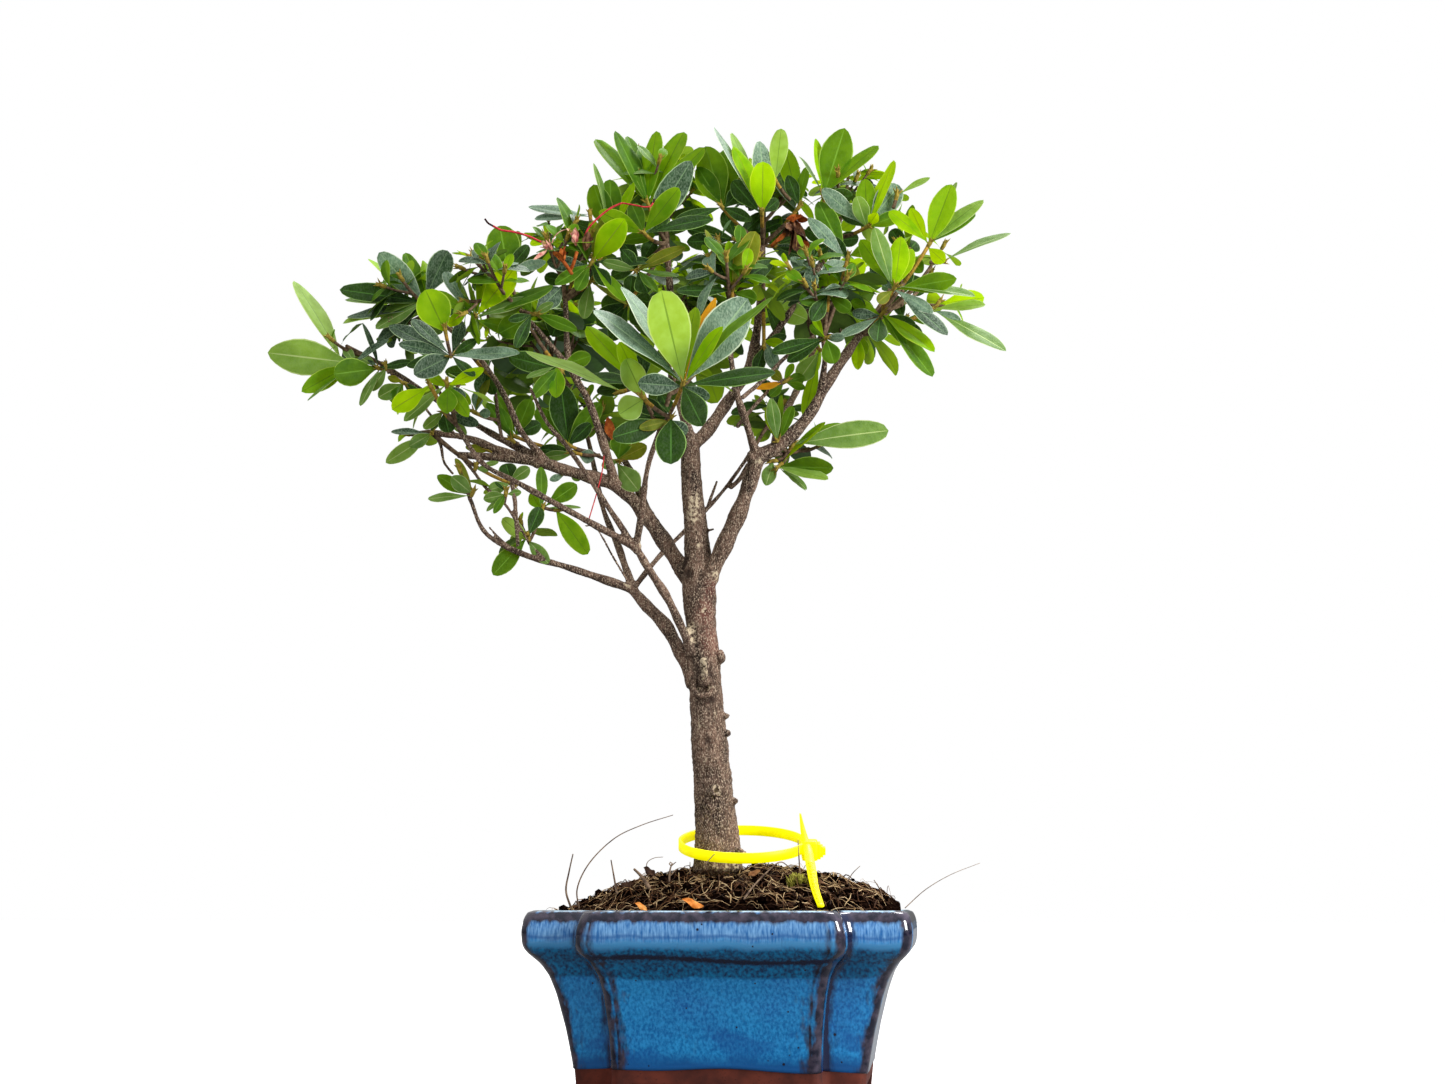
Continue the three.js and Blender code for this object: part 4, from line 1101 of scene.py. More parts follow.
def add_marks(wood):
    """The knots, the peg of a lost shoot, the rings of old cuts, and a root spur at the foot."""
    for place, radius, stretch in KNOTS:
        knot = bmesh.new()
        bmesh.ops.create_icosphere(knot, subdivisions=3, radius=radius)
        points, faces = unpacked(knot)
        wood.add(points * [1, 1, stretch] + seen_at(*place), faces)
    peg = np.linspace(seen_at(*PEG["foot"]), seen_at(*PEG["tip"]), len(PEG["swell"]))
    wood.add(*tube(peg, PEG["radius"] * np.array(PEG["swell"]), 10))
    for place, radius, thickness in RINGS:
        wood.add(*closed_ring(seen_at(*place), radius, thickness))
    wood.add(*tube(seen_path(SPUR, 1.5), 1.9, 10))


def make_wood():
    wood = Gathered()
    spine = []

    def add_round(path, radii, sides):
        wood.add(*tube(path, radii, sides))
        spine.extend(zip(path, radii))

    path = curve_through(TRUNK["points"], BARK["ring"])
    radii = trunk_radii(np.linspace(0, 1, len(path)))
    radii[: len(UNDERCUT)] *= UNDERCUT
    add_round(path, radii, 28)
    draw = seeded(7)
    for foot, tip, *places in LIMBS.values():
        # Each foot is sunk into its parent, so that the remeshed skin has a collar there.
        inward = unit(np.subtract(places[0], places[1])) * foot
        path = curve_through([places[0] + inward, *places], BARK["ring"])
        add_round(path, limb_radii(foot, tip, len(path), 10 * draw()), 16)
    for first, last, places in BARE_TWIGS:
        path = seen_path(places, BARK["ring"])
        add_round(path, np.linspace(first, last, len(path)), 12)
    add_marks(wood)
    piece = wood.build("wood", [make_bark()], "bark")
    skin = piece.modifiers.new("skin", "REMESH")
    skin.mode = "VOXEL"
    skin.voxel_size = BARK["voxel"] * MM
    smooth = piece.modifiers.new("smooth", "SMOOTH")
    smooth.factor = 0.5
    smooth.iterations = 2
    apply_modifiers(piece)
    raise_bark(piece, spine)
    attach(piece, BODY)
    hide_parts("trunk", *LIMBS)
    print("wood:", len(piece.data.polygons), "faces in one skin")


def raise_bark(piece, spine):
    """Moves the skin in and out along its normals by noise, less on thin wood, and marks the patches."""
    mesh = piece.data
    points = np.empty(len(mesh.vertices) * 3)
    normals = np.empty(len(mesh.vertices) * 3)
    mesh.vertices.foreach_get("co", points)
    mesh.vertex_normals.foreach_get("vector", normals)
    points, normals = points.reshape(-1, 3), normals.reshape(-1, 3)
    tree = KDTree(len(spine))
    for index, (place, _) in enumerate(spine):
        tree.insert(to_scene(place)[0], index)
    tree.balance()
    (lump, lump_pace), (knob, knob_pace), (flake, flake_pace) = RELIEF.values()
    rag, rag_pace = BARK["rag"]
    lift, ragged = np.empty(len(points)), np.empty(len(points))
    for i, point in enumerate(points):
        place = Vector(point / MM)
        tall = Vector((place.x, place.y, place.z * BARK["tall"]))
        radius = spine[tree.find(point)[1]][1]
        swell = lump * noise.noise(place * lump_pace) + knob * noise.noise(place * knob_pace)
        flakes = flake * noise.fractal(tall * flake_pace, 1.0, 2.0, 3)
        lift[i] = (swell + flakes) * min(1, max(BARK["least"], radius / BARK["full"]))
        ragged[i] = rag * noise.noise(place * rag_pace)
    points += normals * (lift * MM)[:, None]
    for name, patches in PATCHES.items():
        value = np.zeros(len(points))
        for place, radius in patches:
            apart = (points - to_scene(seen_at(*place))[0]) * [1, 1, 0.75]
            share = np.linalg.norm(apart, axis=1) / (radius * MM)
            value = np.maximum(value, np.clip(1.5 - share + ragged, 0, 0.85))
        mark(mesh, name, value)
    mesh.vertices.foreach_set("co", points.ravel())
    mesh.polygons.foreach_set("use_smooth", [True] * len(mesh.polygons))
    mesh.update()


make_wood()

# %% [markdown]
# ## Leaves
# An azalea leaf is a soft oval on a short stalk, creased along its midrib and bowed back at the tip. An
# image on a card would give its outline cheaply, but its edge and bend would be flat. Here one grid of
# points is bent into each leaf, and the narrow strips along the midrib and the rim carry their own paler
# finish, as the real ones have.

# %% One leaf
ALONG = np.array([0, 0.05, 0.12, 0.22, 0.34, 0.46, 0.58, 0.7, 0.81, 0.9, 0.96, 1.0])
ACROSS = np.array([-1, -0.93, -0.45, -0.045, 0.045, 0.45, 0.93, 1])
BLADE, RIB, RIM = 0, 1, 2
STRIPS = [RIM, BLADE, BLADE, RIB, BLADE, BLADE, RIM]
# What all leaves share: a slimmer base, the stalk's width, the rim's curl and the ripples along it.
FORM = {"base": 0.45, "stalk": 0.06, "curl": 0.12, "ripples": 9}
STRAIGHT = 1e-3  # radians of bow under which a leaf counts as straight


def leaf_faces():
    faces, kinds = [], []
    wide = len(ACROSS)
    for row in range(len(ALONG) - 1):
        for column in range(wide - 1):
            corner = row * wide + column
            faces.append((corner, corner + wide, corner + wide + 1, corner + 1))
            kinds.append(STRIPS[column])
    return faces, kinds


LEAF_FACES, LEAF_KINDS = leaf_faces()


def leaf_points(root, toward, face, length, width_share, widest, blunt, fold, bow, twist, wave):
    """The leaf's grid: root to tip along toward, its upper side to face, bent back by bow radians."""
    side = np.cross(face, toward)
    power = math.log(0.5) / math.log(widest)
    outline = np.sin(math.pi * ALONG**power) ** (blunt + FORM["base"] * (1 - ALONG))
    outline = np.maximum(outline, FORM["stalk"] * (1 - ALONG)) * length * width_share / 2
    bend = bow * ALONG
    ahead = length * (np.sin(bend) / bow if abs(bow) > STRAIGHT else ALONG)
    drop = length * ((1 - np.cos(bend)) / bow if abs(bow) > STRAIGHT else 0 * ALONG)
    v = ACROSS[None, :]
    half = outline[:, None]
    turn = twist * ALONG[:, None]
    flat = v * half * math.cos(fold)
    rippled = wave * np.sin(FORM["ripples"] * ALONG)[:, None]
    lift = half * (np.abs(v) * math.sin(fold) - FORM["curl"] * v**4 + rippled * v * v)
    y = flat * np.cos(turn) - lift * np.sin(turn)
    z = flat * np.sin(turn) + lift * np.cos(turn)
    # Each cross-section stands square to the bowed midrib.
    x = ahead[:, None] + z * np.sin(bend)[:, None]
    z = z * np.cos(bend)[:, None] - drop[:, None]
    return root + x.reshape(-1, 1) * toward + y.reshape(-1, 1) * side + z.reshape(-1, 1) * face


# %% [markdown]
# The leaf's colour depends on its age and on the light: old leaves are dark and bluish with fine pale
# hairs, young ones bright yellow-green, and against the sky all of them glow. The dark and deep tints are
# also painted shade, on leaves set inside the crown where it lies in shadow. Each tint is one finish: a
# Principled shader for the surface, mixed with a Translucent one for the light that comes through, and a
# paler colour on the underside.

# %% Leaf finishes
TINTS = {
    # upper side, its second tone, underside, light through it, midrib, rim, shares of hairs and of light
    "deep": ("18301E", "304A34", "526C48", "4A7A14", "6E8A64", "A8C094", 0.35, 0.12),
    "frost": ("3C5A44", "66846C", "849E80", "6E9048", "8CA880", "C4D2B4", 0.6, 0.15),
    "dark": ("163204", "28480A", "5A7430", "5C8408", "4E7A34", "88AC5C", 0.08, 0.14),
    "green": ("366208", "527C10", "789438", "92B800", "6E9A30", "9CBC50", 0.03, 0.3),
    "fresh": ("528A08", "729F16", "94B040", "AED400", "587A18", "B0CC4C", 0.02, 0.4),
    "bright": ("7CB400", "9ACA0A", "ACCC38", "CCEA00", "7C981C", "CCE040", 0.0, 0.45),
    "light": ("82AA40", "A2CA62", "A6C870", "C4E43C", "6C9034", "D4E4A0", 0.05, 0.5),
    "amber": ("D88A10", "F0A818", "E0A040", "F0B020", "C89020", "F0C040", 0.0, 0.3),
    "olive": ("5C6A10", "7C8A20", "8C943C", "A8A418", "A09C3C", "B8A048", 0.05, 0.35),
    "pale": ("588030", "789C4C", "88A258", "98B834", "B0C47C", "C4D494", 0.12, 0.35),
}


def make_leaf_finish(name, upper, second, under, through, hairy, clear):
    finish = Finish(name, 0.55, 0.1 + 0.4 * hairy)
    tree = finish.tree
    clouds = finish.mottle(upper, second, 210, 0.35, 0.65)
    felt = finish.mask(1500, 0.4, 0.66, 0.5)
    finish.tone = clouds["Color"]
    finish.lay(calculated(tree, "MULTIPLY", felt, hairy), "A2B89C")
    facing = tree.nodes.new("ShaderNodeNewGeometry")
    finish.lay(facing.outputs["Backfacing"], under)
    finish.bump(added(tree, felt, 0.5, clouds["Mask"]), 0.12, 0.5)
    glow = tree.nodes.new("ShaderNodeBsdfTranslucent")
    glow.inputs["Color"].default_value = linear(through)
    both = tree.nodes.new("ShaderNodeMixShader")
    both.inputs["Fac"].default_value = clear
    tree.links.new(finish.shader.outputs["BSDF"], both.inputs[1])
    tree.links.new(glow.outputs["BSDF"], both.inputs[2])
    tree.links.new(both.outputs["Shader"], tree.nodes["Material Output"].inputs["Surface"])
    return finish.done()


def leaf_materials(tint):
    upper, second, under, through, rib, rim, hairy, clear = TINTS[tint]
    return [
        make_leaf_finish(f"leaf_{tint}", upper, second, under, through, hairy, clear),
        make_leaf_finish(f"rib_{tint}", rib, rib, under, through, 0.0, clear * 0.4),
        make_leaf_finish(f"rim_{tint}", rim, rim, under, through, 0.0, clear),
    ]


# %% [markdown]
# ## How a mass grows
# The rule is the source's: shoots fork from a stem that carries on from the limb's tip, spread round it by
# the golden angle, and each ends in a rosette, old leaves wide open and young ones upright in the middle.
# The same draws give the same shoots here. From each shoot finer side shoots fork, so the crown fills up
# within the same reach.

# %% Growing shoots and rosettes
SHOOT = {
    "alone": 0.2, "open": (0.3, 1.8), "reach": (0.85, 1.15), "forks": (0.35, 0.75), "sag": 0.2,
    "radius": 0.95,
}
SIDE = {
    "count": 2, "spread": 0.9, "leaf": 0.85, "open": (0.7, 1.25), "turn": 1.7, "reach": (0.8, 1.25),
    "rise": 0.25, "sag": 1.5,
}
ROSETTE = {
    "leafy": 13.0, "youngest": 0.42, "young": 0.18, "full_grown": 1.35, "size": (0.82, 1.1),
    "open": (0.3, 1.65), "spread": 0.3, "turn": 0.5, "crowded": 0.6,
}
# Spans from which every leaf draws its own differences; a young leaf has its own width, fold and bow.
LEAF = {
    "width": (0.36, 0.52), "widest": (0.56, 0.68), "blunt": (0.42, 0.66), "fold": (0.08, 0.32),
    "bow": (0.15, 0.8), "twist": 0.35, "wave": (-0.12, 0.12),
}
YOUNG = {"width": 0.32, "fold": 0.5, "bow": (-0.3, 0.2)}
# The leaves that are set where the photograph shows them; those below the middle of their spray lie nearer.
PLACED = {
    "share": 0.44, "thinnest": 0.3, "shortest": 5.0, "longer": 1.03, "bow": (0.0, 0.22), "twist": 0.15,
    "sag": 0.12, "leafy": 3, "back": 0.8, "scatter": 0.35, "nearer": 0.25,
}
BUD = {"at": (-2.5, 0, 1.8, 3.2), "radii": (1.0, 1.2, 0.8, 0.2)}
SCALE = {"count": 4, "open": (0.25, 0.8), "length": (2.6, 5.0), "radii": (0.55, 0.6, 0.4, 0.1), "turn": 1.7}


def aside(axis, opened, around):
    """Turns away from an axis by one angle and round it by another."""
    across = [0, 1, 0] if abs(axis[2]) > 0.9 else UP
    side = unit(np.cross(axis, across))
    over = np.cross(side, axis)
    return axis * math.cos(opened) + (side * math.cos(around) + over * math.sin(around)) * math.sin(opened)


def grow_shoots(limb, middle, spread, count, draw):
    foot = np.array(LIMBS[limb][-1], float)
    centre = np.array(middle, float)
    heading = unit(centre - foot)
    shoots = []
    for k in range(count):
        opened = SHOOT["alone"] if count == 1 else between(SHOOT["open"], (k + 0.5) / count)
        out = aside(heading, opened, k * GOLDEN_ANGLE + draw())
        end = centre + out * spread * between(SHOOT["reach"], draw())
        crotch = foot + (centre - foot) * between(SHOOT["forks"], draw())
        bend = (crotch + end) / 2 - UP * SHOOT["sag"] * np.linalg.norm(end - crotch)
        shoots.append(arc(crotch, bend, end, 9))
    return shoots


def side_shoots(shoot, draw, count, reach):
    """Finer shoots that fork from a shoot and turn up at their ends."""
    made = []
    axis = unit(shoot[-1] - shoot[0])
    for k in range(count):
        start = shoot[3 + (k * 2) % 4]
        out = aside(axis, between(SIDE["open"], draw()), k * GOLDEN_ANGLE * SIDE["turn"] + 6.28 * draw())
        end = start + out * reach * between(SIDE["reach"], draw()) + UP * reach * SIDE["rise"]
        made.append(arc(start, (start + end) / 2 - UP * SIDE["sag"], end, 7))
    return made


def facing_eye(root, toward, lean):
    """The direction across a leaf that shows its upper side to the camera, leant over by an angle."""
    facing = unit(EYE - root)
    facing = unit(facing - toward * toward.dot(facing))
    side = np.cross(facing, toward)
    return facing * math.cos(lean) + side * math.sin(lean) * (1 if side[2] > 0 else -1)


class Crown:
    """All leaves by tint, all twigs, and the buds, gathered as they grow."""

    def __init__(self):
        self.leaves = {tint: Gathered() for tint in TINTS}
        self.twigs = Gathered()
        self.shoots = Gathered()
        self.buds = Gathered()

    def leaf(self, tint, root, toward, face, length, draw, share=None, young=False, bow=None, twist=None):
        """One leaf with its own small differences; a young one is narrow, folded and nearly straight."""
        twist = twist or LEAF["twist"]
        points = leaf_points(
            root, toward, face, length,
            width_share=share or (YOUNG["width"] if young else between(LEAF["width"], draw())),
            widest=between(LEAF["widest"], draw()),
            blunt=between(LEAF["blunt"], draw()),
            fold=YOUNG["fold"] if young else between(LEAF["fold"], draw()),
            bow=between(bow or (YOUNG if young else LEAF)["bow"], draw()),
            twist=between((-twist, twist), draw()),
            wave=between(LEAF["wave"], draw()),
        )
        self.leaves[tint].add(points, LEAF_FACES, LEAF_KINDS)

    def rosette(self, shoot, count, longest, tints, draw, nearest=-1.0):
        """Leaves round the shoot's end: the last are short and upright, the first long and wide open."""
        axis = unit(shoot[-1] - shoot[-2])
        end = shoot[-1]
        for n in range(count):
            age = 1 - n / count
            root = end - axis * ROSETTE["leafy"] * age * ROSETTE["crowded"]
            opened = between(ROSETTE["open"], age) + ROSETTE["spread"] * (draw() - 0.5)
            toward = aside(axis, opened, n * GOLDEN_ANGLE + ROSETTE["turn"] * draw())
            face = unit(axis - toward * axis.dot(toward))
            grown = between((ROSETTE["youngest"], 1), min(1, age * ROSETTE["full_grown"]))
            length = longest * grown * between(ROSETTE["size"], draw())
            tint = pick(tints, age, draw)
            if toward[1] >= nearest:
                self.leaf(tint, root, toward, face, length, draw, young=age < ROSETTE["young"])
        self.bud(end, axis, draw)

    def bud(self, end, axis, draw):
        """A bud and the narrow hairy scales that stand round it."""
        self.buds.add(*tube(end + np.outer(BUD["at"], axis), np.array(BUD["radii"]), 6))
        for k in range(SCALE["count"]):
            out = aside(axis, between(SCALE["open"], draw()), k * SCALE["turn"] + draw())
            path = end + np.outer(np.linspace(0, 1, 4), out * between(SCALE["length"], draw()))
            self.buds.add(*tube(path, np.array(SCALE["radii"]), 4))

    def twig(self, path, first, last):
        self.twigs.add(*tube(path, np.linspace(first, last, len(path)), 6))

    def spray(self, start, centre, leaves, draw):
        """A shoot from a limb's tip or a seen place to where the photograph shows its end, with leaves."""
        middle = seen_at(*centre)
        scale = pixel(centre[2])
        on_limb = isinstance(start, str)
        foot = np.array(LIMBS[start][-1], float) if on_limb else seen_at(*start)
        sag = UP * PLACED["sag"] * np.linalg.norm(middle - foot)
        path = arc(foot, (foot + middle) / 2 - sag, middle, 9)
        self.twig(path[:6], LIMBS[start][1] * 0.9 if on_limb else SHOOT["radius"], SHOOT["radius"])
        self.shoots.add(*tube(path[5:], SHOOT["radius"], 6))
        axis = unit(path[-1] - path[-2])
        for x, y, width, tint, *given in leaves:
            seen = math.hypot(x - centre[0], y - centre[1]) * scale
            nearer = PLACED["nearer"] if y > centre[1] else 0
            deep = given[0] if given else seen * (PLACED["scatter"] * (draw() - 0.5) - nearer)
            tip = seen_at(x, y, centre[2] + deep)
            root = middle + axis * PLACED["leafy"] * (draw() - PLACED["back"])
            toward = unit(tip - root)
            length = max(PLACED["shortest"], np.linalg.norm(tip - root)) * PLACED["longer"]
            share = width * scale / length
            own = min(PLACED["share"], max(share, PLACED["thinnest"]))
            lean = math.acos(min(1, share / own))
            face = facing_eye(root, toward, lean)
            # The bowed leaf starts half its bend above the straight way to its tip, and so ends there.
            bend = between(PLACED["bow"], draw())
            rise, fall = math.sin(bend / 2), math.cos(bend / 2)
            ahead, over = toward * fall + face * rise, face * fall - toward * rise
            own = max(share, own)
            self.leaf(tint, root, ahead, over, length, draw, own, bow=(bend, bend), twist=PLACED["twist"])
        self.bud(middle, axis, draw)


def pick(tints, age, draw):
    """A tint for a leaf of that age: from the spray's older tints to its younger ones."""
    place = (1 - age) * (len(tints) - 1) + 1.3 * (draw() - 0.5)
    return tints[int(min(max(round(place), 0), len(tints) - 1))]


# %% [markdown]
# ## The sprays in front
# The leaves nearest to the eye give the plant its face, so they are set one by one where the photograph
# shows them. A spray starts at its limb's tip or at a seen place, and has a middle. Each leaf has the place
# of its tip, its seen width, its tint, and where it matters how far its tip lies behind the middle. A leaf
# that shows narrower than it is must be turned on its edge, and that gives its lean. All sizes here are
# pixels of the photograph; the depths are guesses in millimetres.

# %% The sprays that the photograph shows
# Sprays of dark leaves set just behind the front ones are painted shade: they darken the inside of the crown.
SPRAYS = [
    ["bough_left_upper", (354, 363, -12), [
        (270, 353, 40, "pale", -4), (303, 391, 22, "fresh", -8), (309, 400, 4, "pale"),
        (388, 340, 8, "deep"), (345, 348, 11, "pale", 10),
    ]],
    [(354, 363, -12), (341, 361, -2), [(295, 283, 21, "light", 0)]],
    ["bough_left_upper", (378, 368, -10), [
        (335, 374, 30, "green", -14), (363, 324, 6, "deep"), (361, 405, 10, "pale"),
        (350, 352, 12, "pale", 12), (368, 360, 4, "deep"), (411, 362, 10, "dark"),
    ]],
    ["bough_left_rise", (451, 356, -22), [
        (413, 320, 15, "deep"), (400, 344, 14, "deep"), (408, 366, 14, "dark"), (415, 374, 25, "deep", -14),
        (518, 353, 13, "frost"), (476, 340, 12, "dark"), (462, 322, 15, "deep", 8),
        (391, 326, 18, "deep", 10), (474, 376, 10, "dark"),
    ]],
    [(451, 356, -24), (445, 329, -32), [(426, 291, 38, "fresh", -6)]],
    ["bough_left_rise", (475, 317, -26), [
        (514, 269, 29, "bright", -14), (436, 292, 13, "fresh"), (445, 273, 16, "frost"),
        (551, 287, 15, "green"), (494, 245, 16, "fresh", 8), (469, 283, 6, "light"),
        (516, 330, 18, "green", 10), (529, 300, 12, "pale"),
    ]],
    ["bough_left_rise", (424, 302, -2), [
        (342, 290, 22, "dark"), (380, 254, 27, "frost", -8), (370, 260, 10, "bright", 6),
        (406, 254, 18, "green", 6), (447, 252, 28, "deep", 2), (345, 323, 10, "light", -4),
        (349, 317, 12, "deep"), (377, 328, 14, "pale"), (424, 262, 12, "bright", 10),
        (378, 342, 15, "deep", 6), (347, 300, 5, "pale"),
    ]],
    ["bough_left_upper", (404, 383, -12), [
        (379, 397, 18, "pale", -2), (392, 402, 14, "green", 0), (398, 414, 6, "light", 0),
        (420, 396, 10, "dark", 2), (388, 377, 8, "olive", 0),
    ]],
    [(389, 373, -10), (386, 366, -10), [(371, 390, 13, "pale", 0)]],
    ["bough_left_rise", (486, 372, 6), [
        (478, 392, 14, "deep", 2), (494, 394, 14, "dark", 2), (484, 354, 12, "dark", 2),
        (446, 372, 16, "dark", 4),
    ]],
    [(519, 444, 12), (512, 440, 12), [(488, 404, 14, "green", 4), (500, 408, 13, "green", 4)]],
    ["bough_thin_left", (430, 385, -28), [(393, 409, 23, "bright", -2)]],
    ["bough_thin_left", (447, 383, -26), [
        (483, 369, 14, "bright"), (447, 413, 23, "fresh"), (468, 416, 16, "fresh"), (465, 397, 11, "deep"),
        (425, 372, 12, "fresh"), (405, 420, 14, "pale", 8), (470, 404, 13, "green", 6),
    ]],
    ["bough_thin_left", (444, 412, -14), [
        (449, 432, 20, "dark"), (424, 428, 12, "pale"), (478, 424, 13, "deep"), (466, 434, 11, "pale"),
    ]],
    [(498, 420, 10), (474, 412, 4), [
        (490, 413, 11, "frost", 0), (478, 392, 13, "frost", 2), (489, 380, 8, "olive", 2),
    ]],
    [(500, 452, 14), (488, 450, 14), [(466, 447, 9, "olive", -2)]],
    [(474, 472, 8), (476, 466, 8), [(489, 469, 8, "pale", 0), (498, 462, 6, "pale", 4)]],
    ["bough_middle_fork", (508, 272, -22), [
        (500, 227, 38, "green", 6), (480, 250, 14, "green"), (528, 246, 15, "dark"),
        (545, 262, 12, "frost"), (517, 232, 14, "green", 8),
    ]],
    ["bough_middle_fork", (536, 314, -26), [
        (500, 333, 27, "green", 6), (560, 289, 24, "deep", 10), (553, 303, 10, "pale"),
        (516, 347, 14, "dark"), (509, 320, 10, "dark"), (576, 330, 14, "green"), (519, 295, 16, "green"),
    ]],
    ["bough_middle_fork", (560, 369, -14), [
        (510, 357, 22, "dark"), (527, 378, 7, "pale"), (556, 397, 20, "fresh"), (532, 398, 16, "green"),
        (590, 356, 18, "green"),
    ]],
    ["bough_middle_rise", (592, 262, -16), [
        (624, 220, 31, "bright", -10), (606, 219, 19, "olive"), (558, 199, 12, "green"),
        (548, 262, 18, "deep"), (556, 284, 14, "green"), (624, 300, 13, "fresh"), (650, 262, 12, "dark"),
        (577, 290, 15, "green"), (610, 285, 18, "dark"),
    ]],
    [(592, 230, -14), (590, 213, -12), [(530, 207, 9, "frost", 0), (536, 219, 8, "frost", 0)]],
    ["bough_middle_rise", (612, 240, -8), [
        (654, 235, 14, "green"), (594, 186, 27, "green"), (610, 181, 25, "green"), (594, 165, 8, "pale"),
        (633, 184, 11, "bright"), (571, 222, 14, "dark"),
    ]],
    ["leader_left", (648, 204, -6), [
        (597, 141, 17, "fresh"), (616, 133, 19, "green"), (628, 138, 20, "green"), (656, 133, 22, "fresh"),
        (683, 134, 23, "fresh", 4), (703, 149, 15, "fresh"), (640, 150, 17, "green", 6),
    ]],
    ["leader_left", (644, 233, -22), [
        (690, 163, 32, "deep", -6), (678, 189, 23, "fresh", -14), (711, 219, 15, "dark"),
        (600, 212, 22, "fresh"), (668, 214, 16, "dark"), (632, 205, 20, "green", 8),
    ]],
    ["leader_left", (637, 270, -18), [
        (684, 248, 14, "olive"), (678, 276, 6, "green"), (648, 292, 24, "dark"), (657, 292, 10, "green"),
        (604, 262, 12, "pale"), (622, 250, 16, "dark"), (663, 256, 14, "green", 8),
    ]],
    ["leader_right", (722, 207, -10), [
        (706, 148, 36, "green", 4), (728, 150, 32, "green", 8), (676, 222, 14, "dark"),
        (751, 220, 14, "dark"), (698, 168, 24, "green", 2), (740, 190, 18, "dark"),
    ]],
    ["leader_right", (762, 212, -16), [
        (715, 129, 11, "frost"), (734, 148, 17, "bright"), (763, 163, 29, "bright", -8),
        (733, 135, 12, "light", 8), (733, 182, 22, "dark"), (760, 143, 22, "frost", 8),
        (778, 200, 14, "dark"),
    ]],
    ["leader_right", (799, 207, -6), [
        (785, 149, 22, "fresh"), (788, 176, 16, "dark"), (770, 160, 20, "frost", 6),
        (806, 168, 12, "green"),
    ]],
    [(790, 200, -8), (775, 180, -8), [(781, 130, 21, "light", 2)]],
    ["leader_right", (772, 246, 10), [
        (792, 214, 18, "dark", 12), (806, 232, 20, "dark", 14), (800, 256, 18, "deep", 12),
        (778, 216, 14, "green", 8), (822, 250, 18, "dark", 16), (760, 226, 12, "green", 8),
    ]],
    ["leader_right_fork", (823, 195, -12), [
        (844, 130, 37, "green", -2), (816, 140, 11, "bright"), (877, 147, 16, "fresh"),
        (799, 157, 4, "pale"), (852, 196, 18, "dark"), (842, 214, 22, "green"),
    ]],
    ["leader_right_fork", (868, 226, -20), [
        (893, 162, 14, "bright"), (865, 180, 23, "fresh", 4), (857, 197, 19, "pale", -8),
        (823, 190, 19, "frost", -8), (877, 213, 13, "bright", -10), (898, 186, 30, "frost", 4),
        (840, 205, 20, "dark", 8), (902, 214, 16, "green"),
    ]],
    ["bough_right_upper", (848, 257, -30), [
        (809, 219, 15, "frost"), (819, 203, 24, "green", 8), (823, 271, 17, "frost"),
        (870, 248, 14, "fresh"), (833, 238, 14, "dark"), (858, 280, 13, "olive"),
    ]],
    ["bough_right_upper", (829, 293, -36), [
        (827, 274, 27, "bright"), (790, 274, 8, "bright"), (800, 300, 20, "green"), (812, 320, 18, "dark"),
        (850, 310, 16, "green"), (792, 258, 18, "frost", 10),
    ]],
    ["bough_right_inner", (733, 287, -36), [
        (729, 242, 14, "bright"), (755, 233, 26, "olive", -6), (706, 231, 10, "olive"),
        (705, 257, 17, "dark"), (678, 291, 13, "dark"), (760, 281, 9, "bright"), (722, 262, 7, "bright"),
        (694, 266, 16, "green", 8), (772, 262, 20, "dark", 8), (756, 300, 18, "green"),
    ]],
    ["bough_right_outer", (895, 287, -32), [
        (861, 241, 21, "fresh"), (875, 229, 19, "pale", -8), (871, 266, 16, "deep"),
        (901, 238, 24, "bright"), (955, 279, 22, "green", -6), (973, 296, 9, "pale"),
        (932, 312, 13, "frost"), (946, 334, 15, "deep"), (880, 262, 12, "green"),
        (912, 250, 18, "bright", 6), (878, 302, 13, "olive"),
    ]],
    ["bough_right_outer", (930, 243, -26), [
        (951, 186, 29, "fresh", -8), (982, 201, 17, "light"), (890, 212, 15, "bright"),
        (911, 209, 15, "bright"), (944, 262, 16, "bright"), (974, 214, 12, "green"),
        (955, 184, 10, "pale", 8),
    ]],
    [(893, 208, -20), (897, 195, -20), [(929, 178, 7, "light", 0)]],
    [(930, 262, -24), (941, 262, -24), [(1009, 234, 9, "pale", 0)]],
    ["bough_right_outer", (908, 252, 0), [
        (892, 230, 18, "dark", 2), (916, 242, 18, "dark", 4), (922, 272, 18, "green", 2),
        (904, 292, 18, "dark", 2), (912, 206, 14, "green", 4), (884, 262, 14, "dark", 2),
    ]],
    ["bough_right_outer", (905, 318, -4), [
        (922, 340, 15, "dark", 2), (896, 296, 14, "dark", 2), (934, 318, 14, "green", 2),
    ]],
    [(932, 309, -20), (939, 302, -20), [(983, 298, 22, "bright", 0)]],
    ["bough_right_outer", (932, 309, -20), [
        (1004, 350, 14, "pale"), (984, 305, 12, "light"), (960, 320, 9, "frost"),
    ]],
    ["bough_right_outer", (883, 313, -24), [
        (931, 375, 19, "green", -8), (933, 351, 16, "bright"), (877, 341, 22, "dark", -14),
        (853, 313, 12, "deep"), (852, 301, 14, "fresh"), (842, 336, 11, "frost"), (915, 325, 14, "dark"),
        (905, 345, 12, "green"),
    ]],
    ["bough_right_outer", (858, 336, 0), [
        (858, 369, 15, "bright"), (866, 354, 14, "green"), (846, 352, 10, "fresh"),
    ]],
    ["bough_thin_front", (683, 384, -84), [
        (662, 293, 46, "light", -12), (617, 334, 14, "green", 6), (714, 300, 18, "amber", 14),
        (695, 309, 20, "fresh", 4), (722, 328, 14, "bright", -8), (746, 301, 48, "frost", 4),
        (771, 299, 8, "green", -16), (596, 312, 18, "frost", 2), (623, 289, 14, "frost", 10),
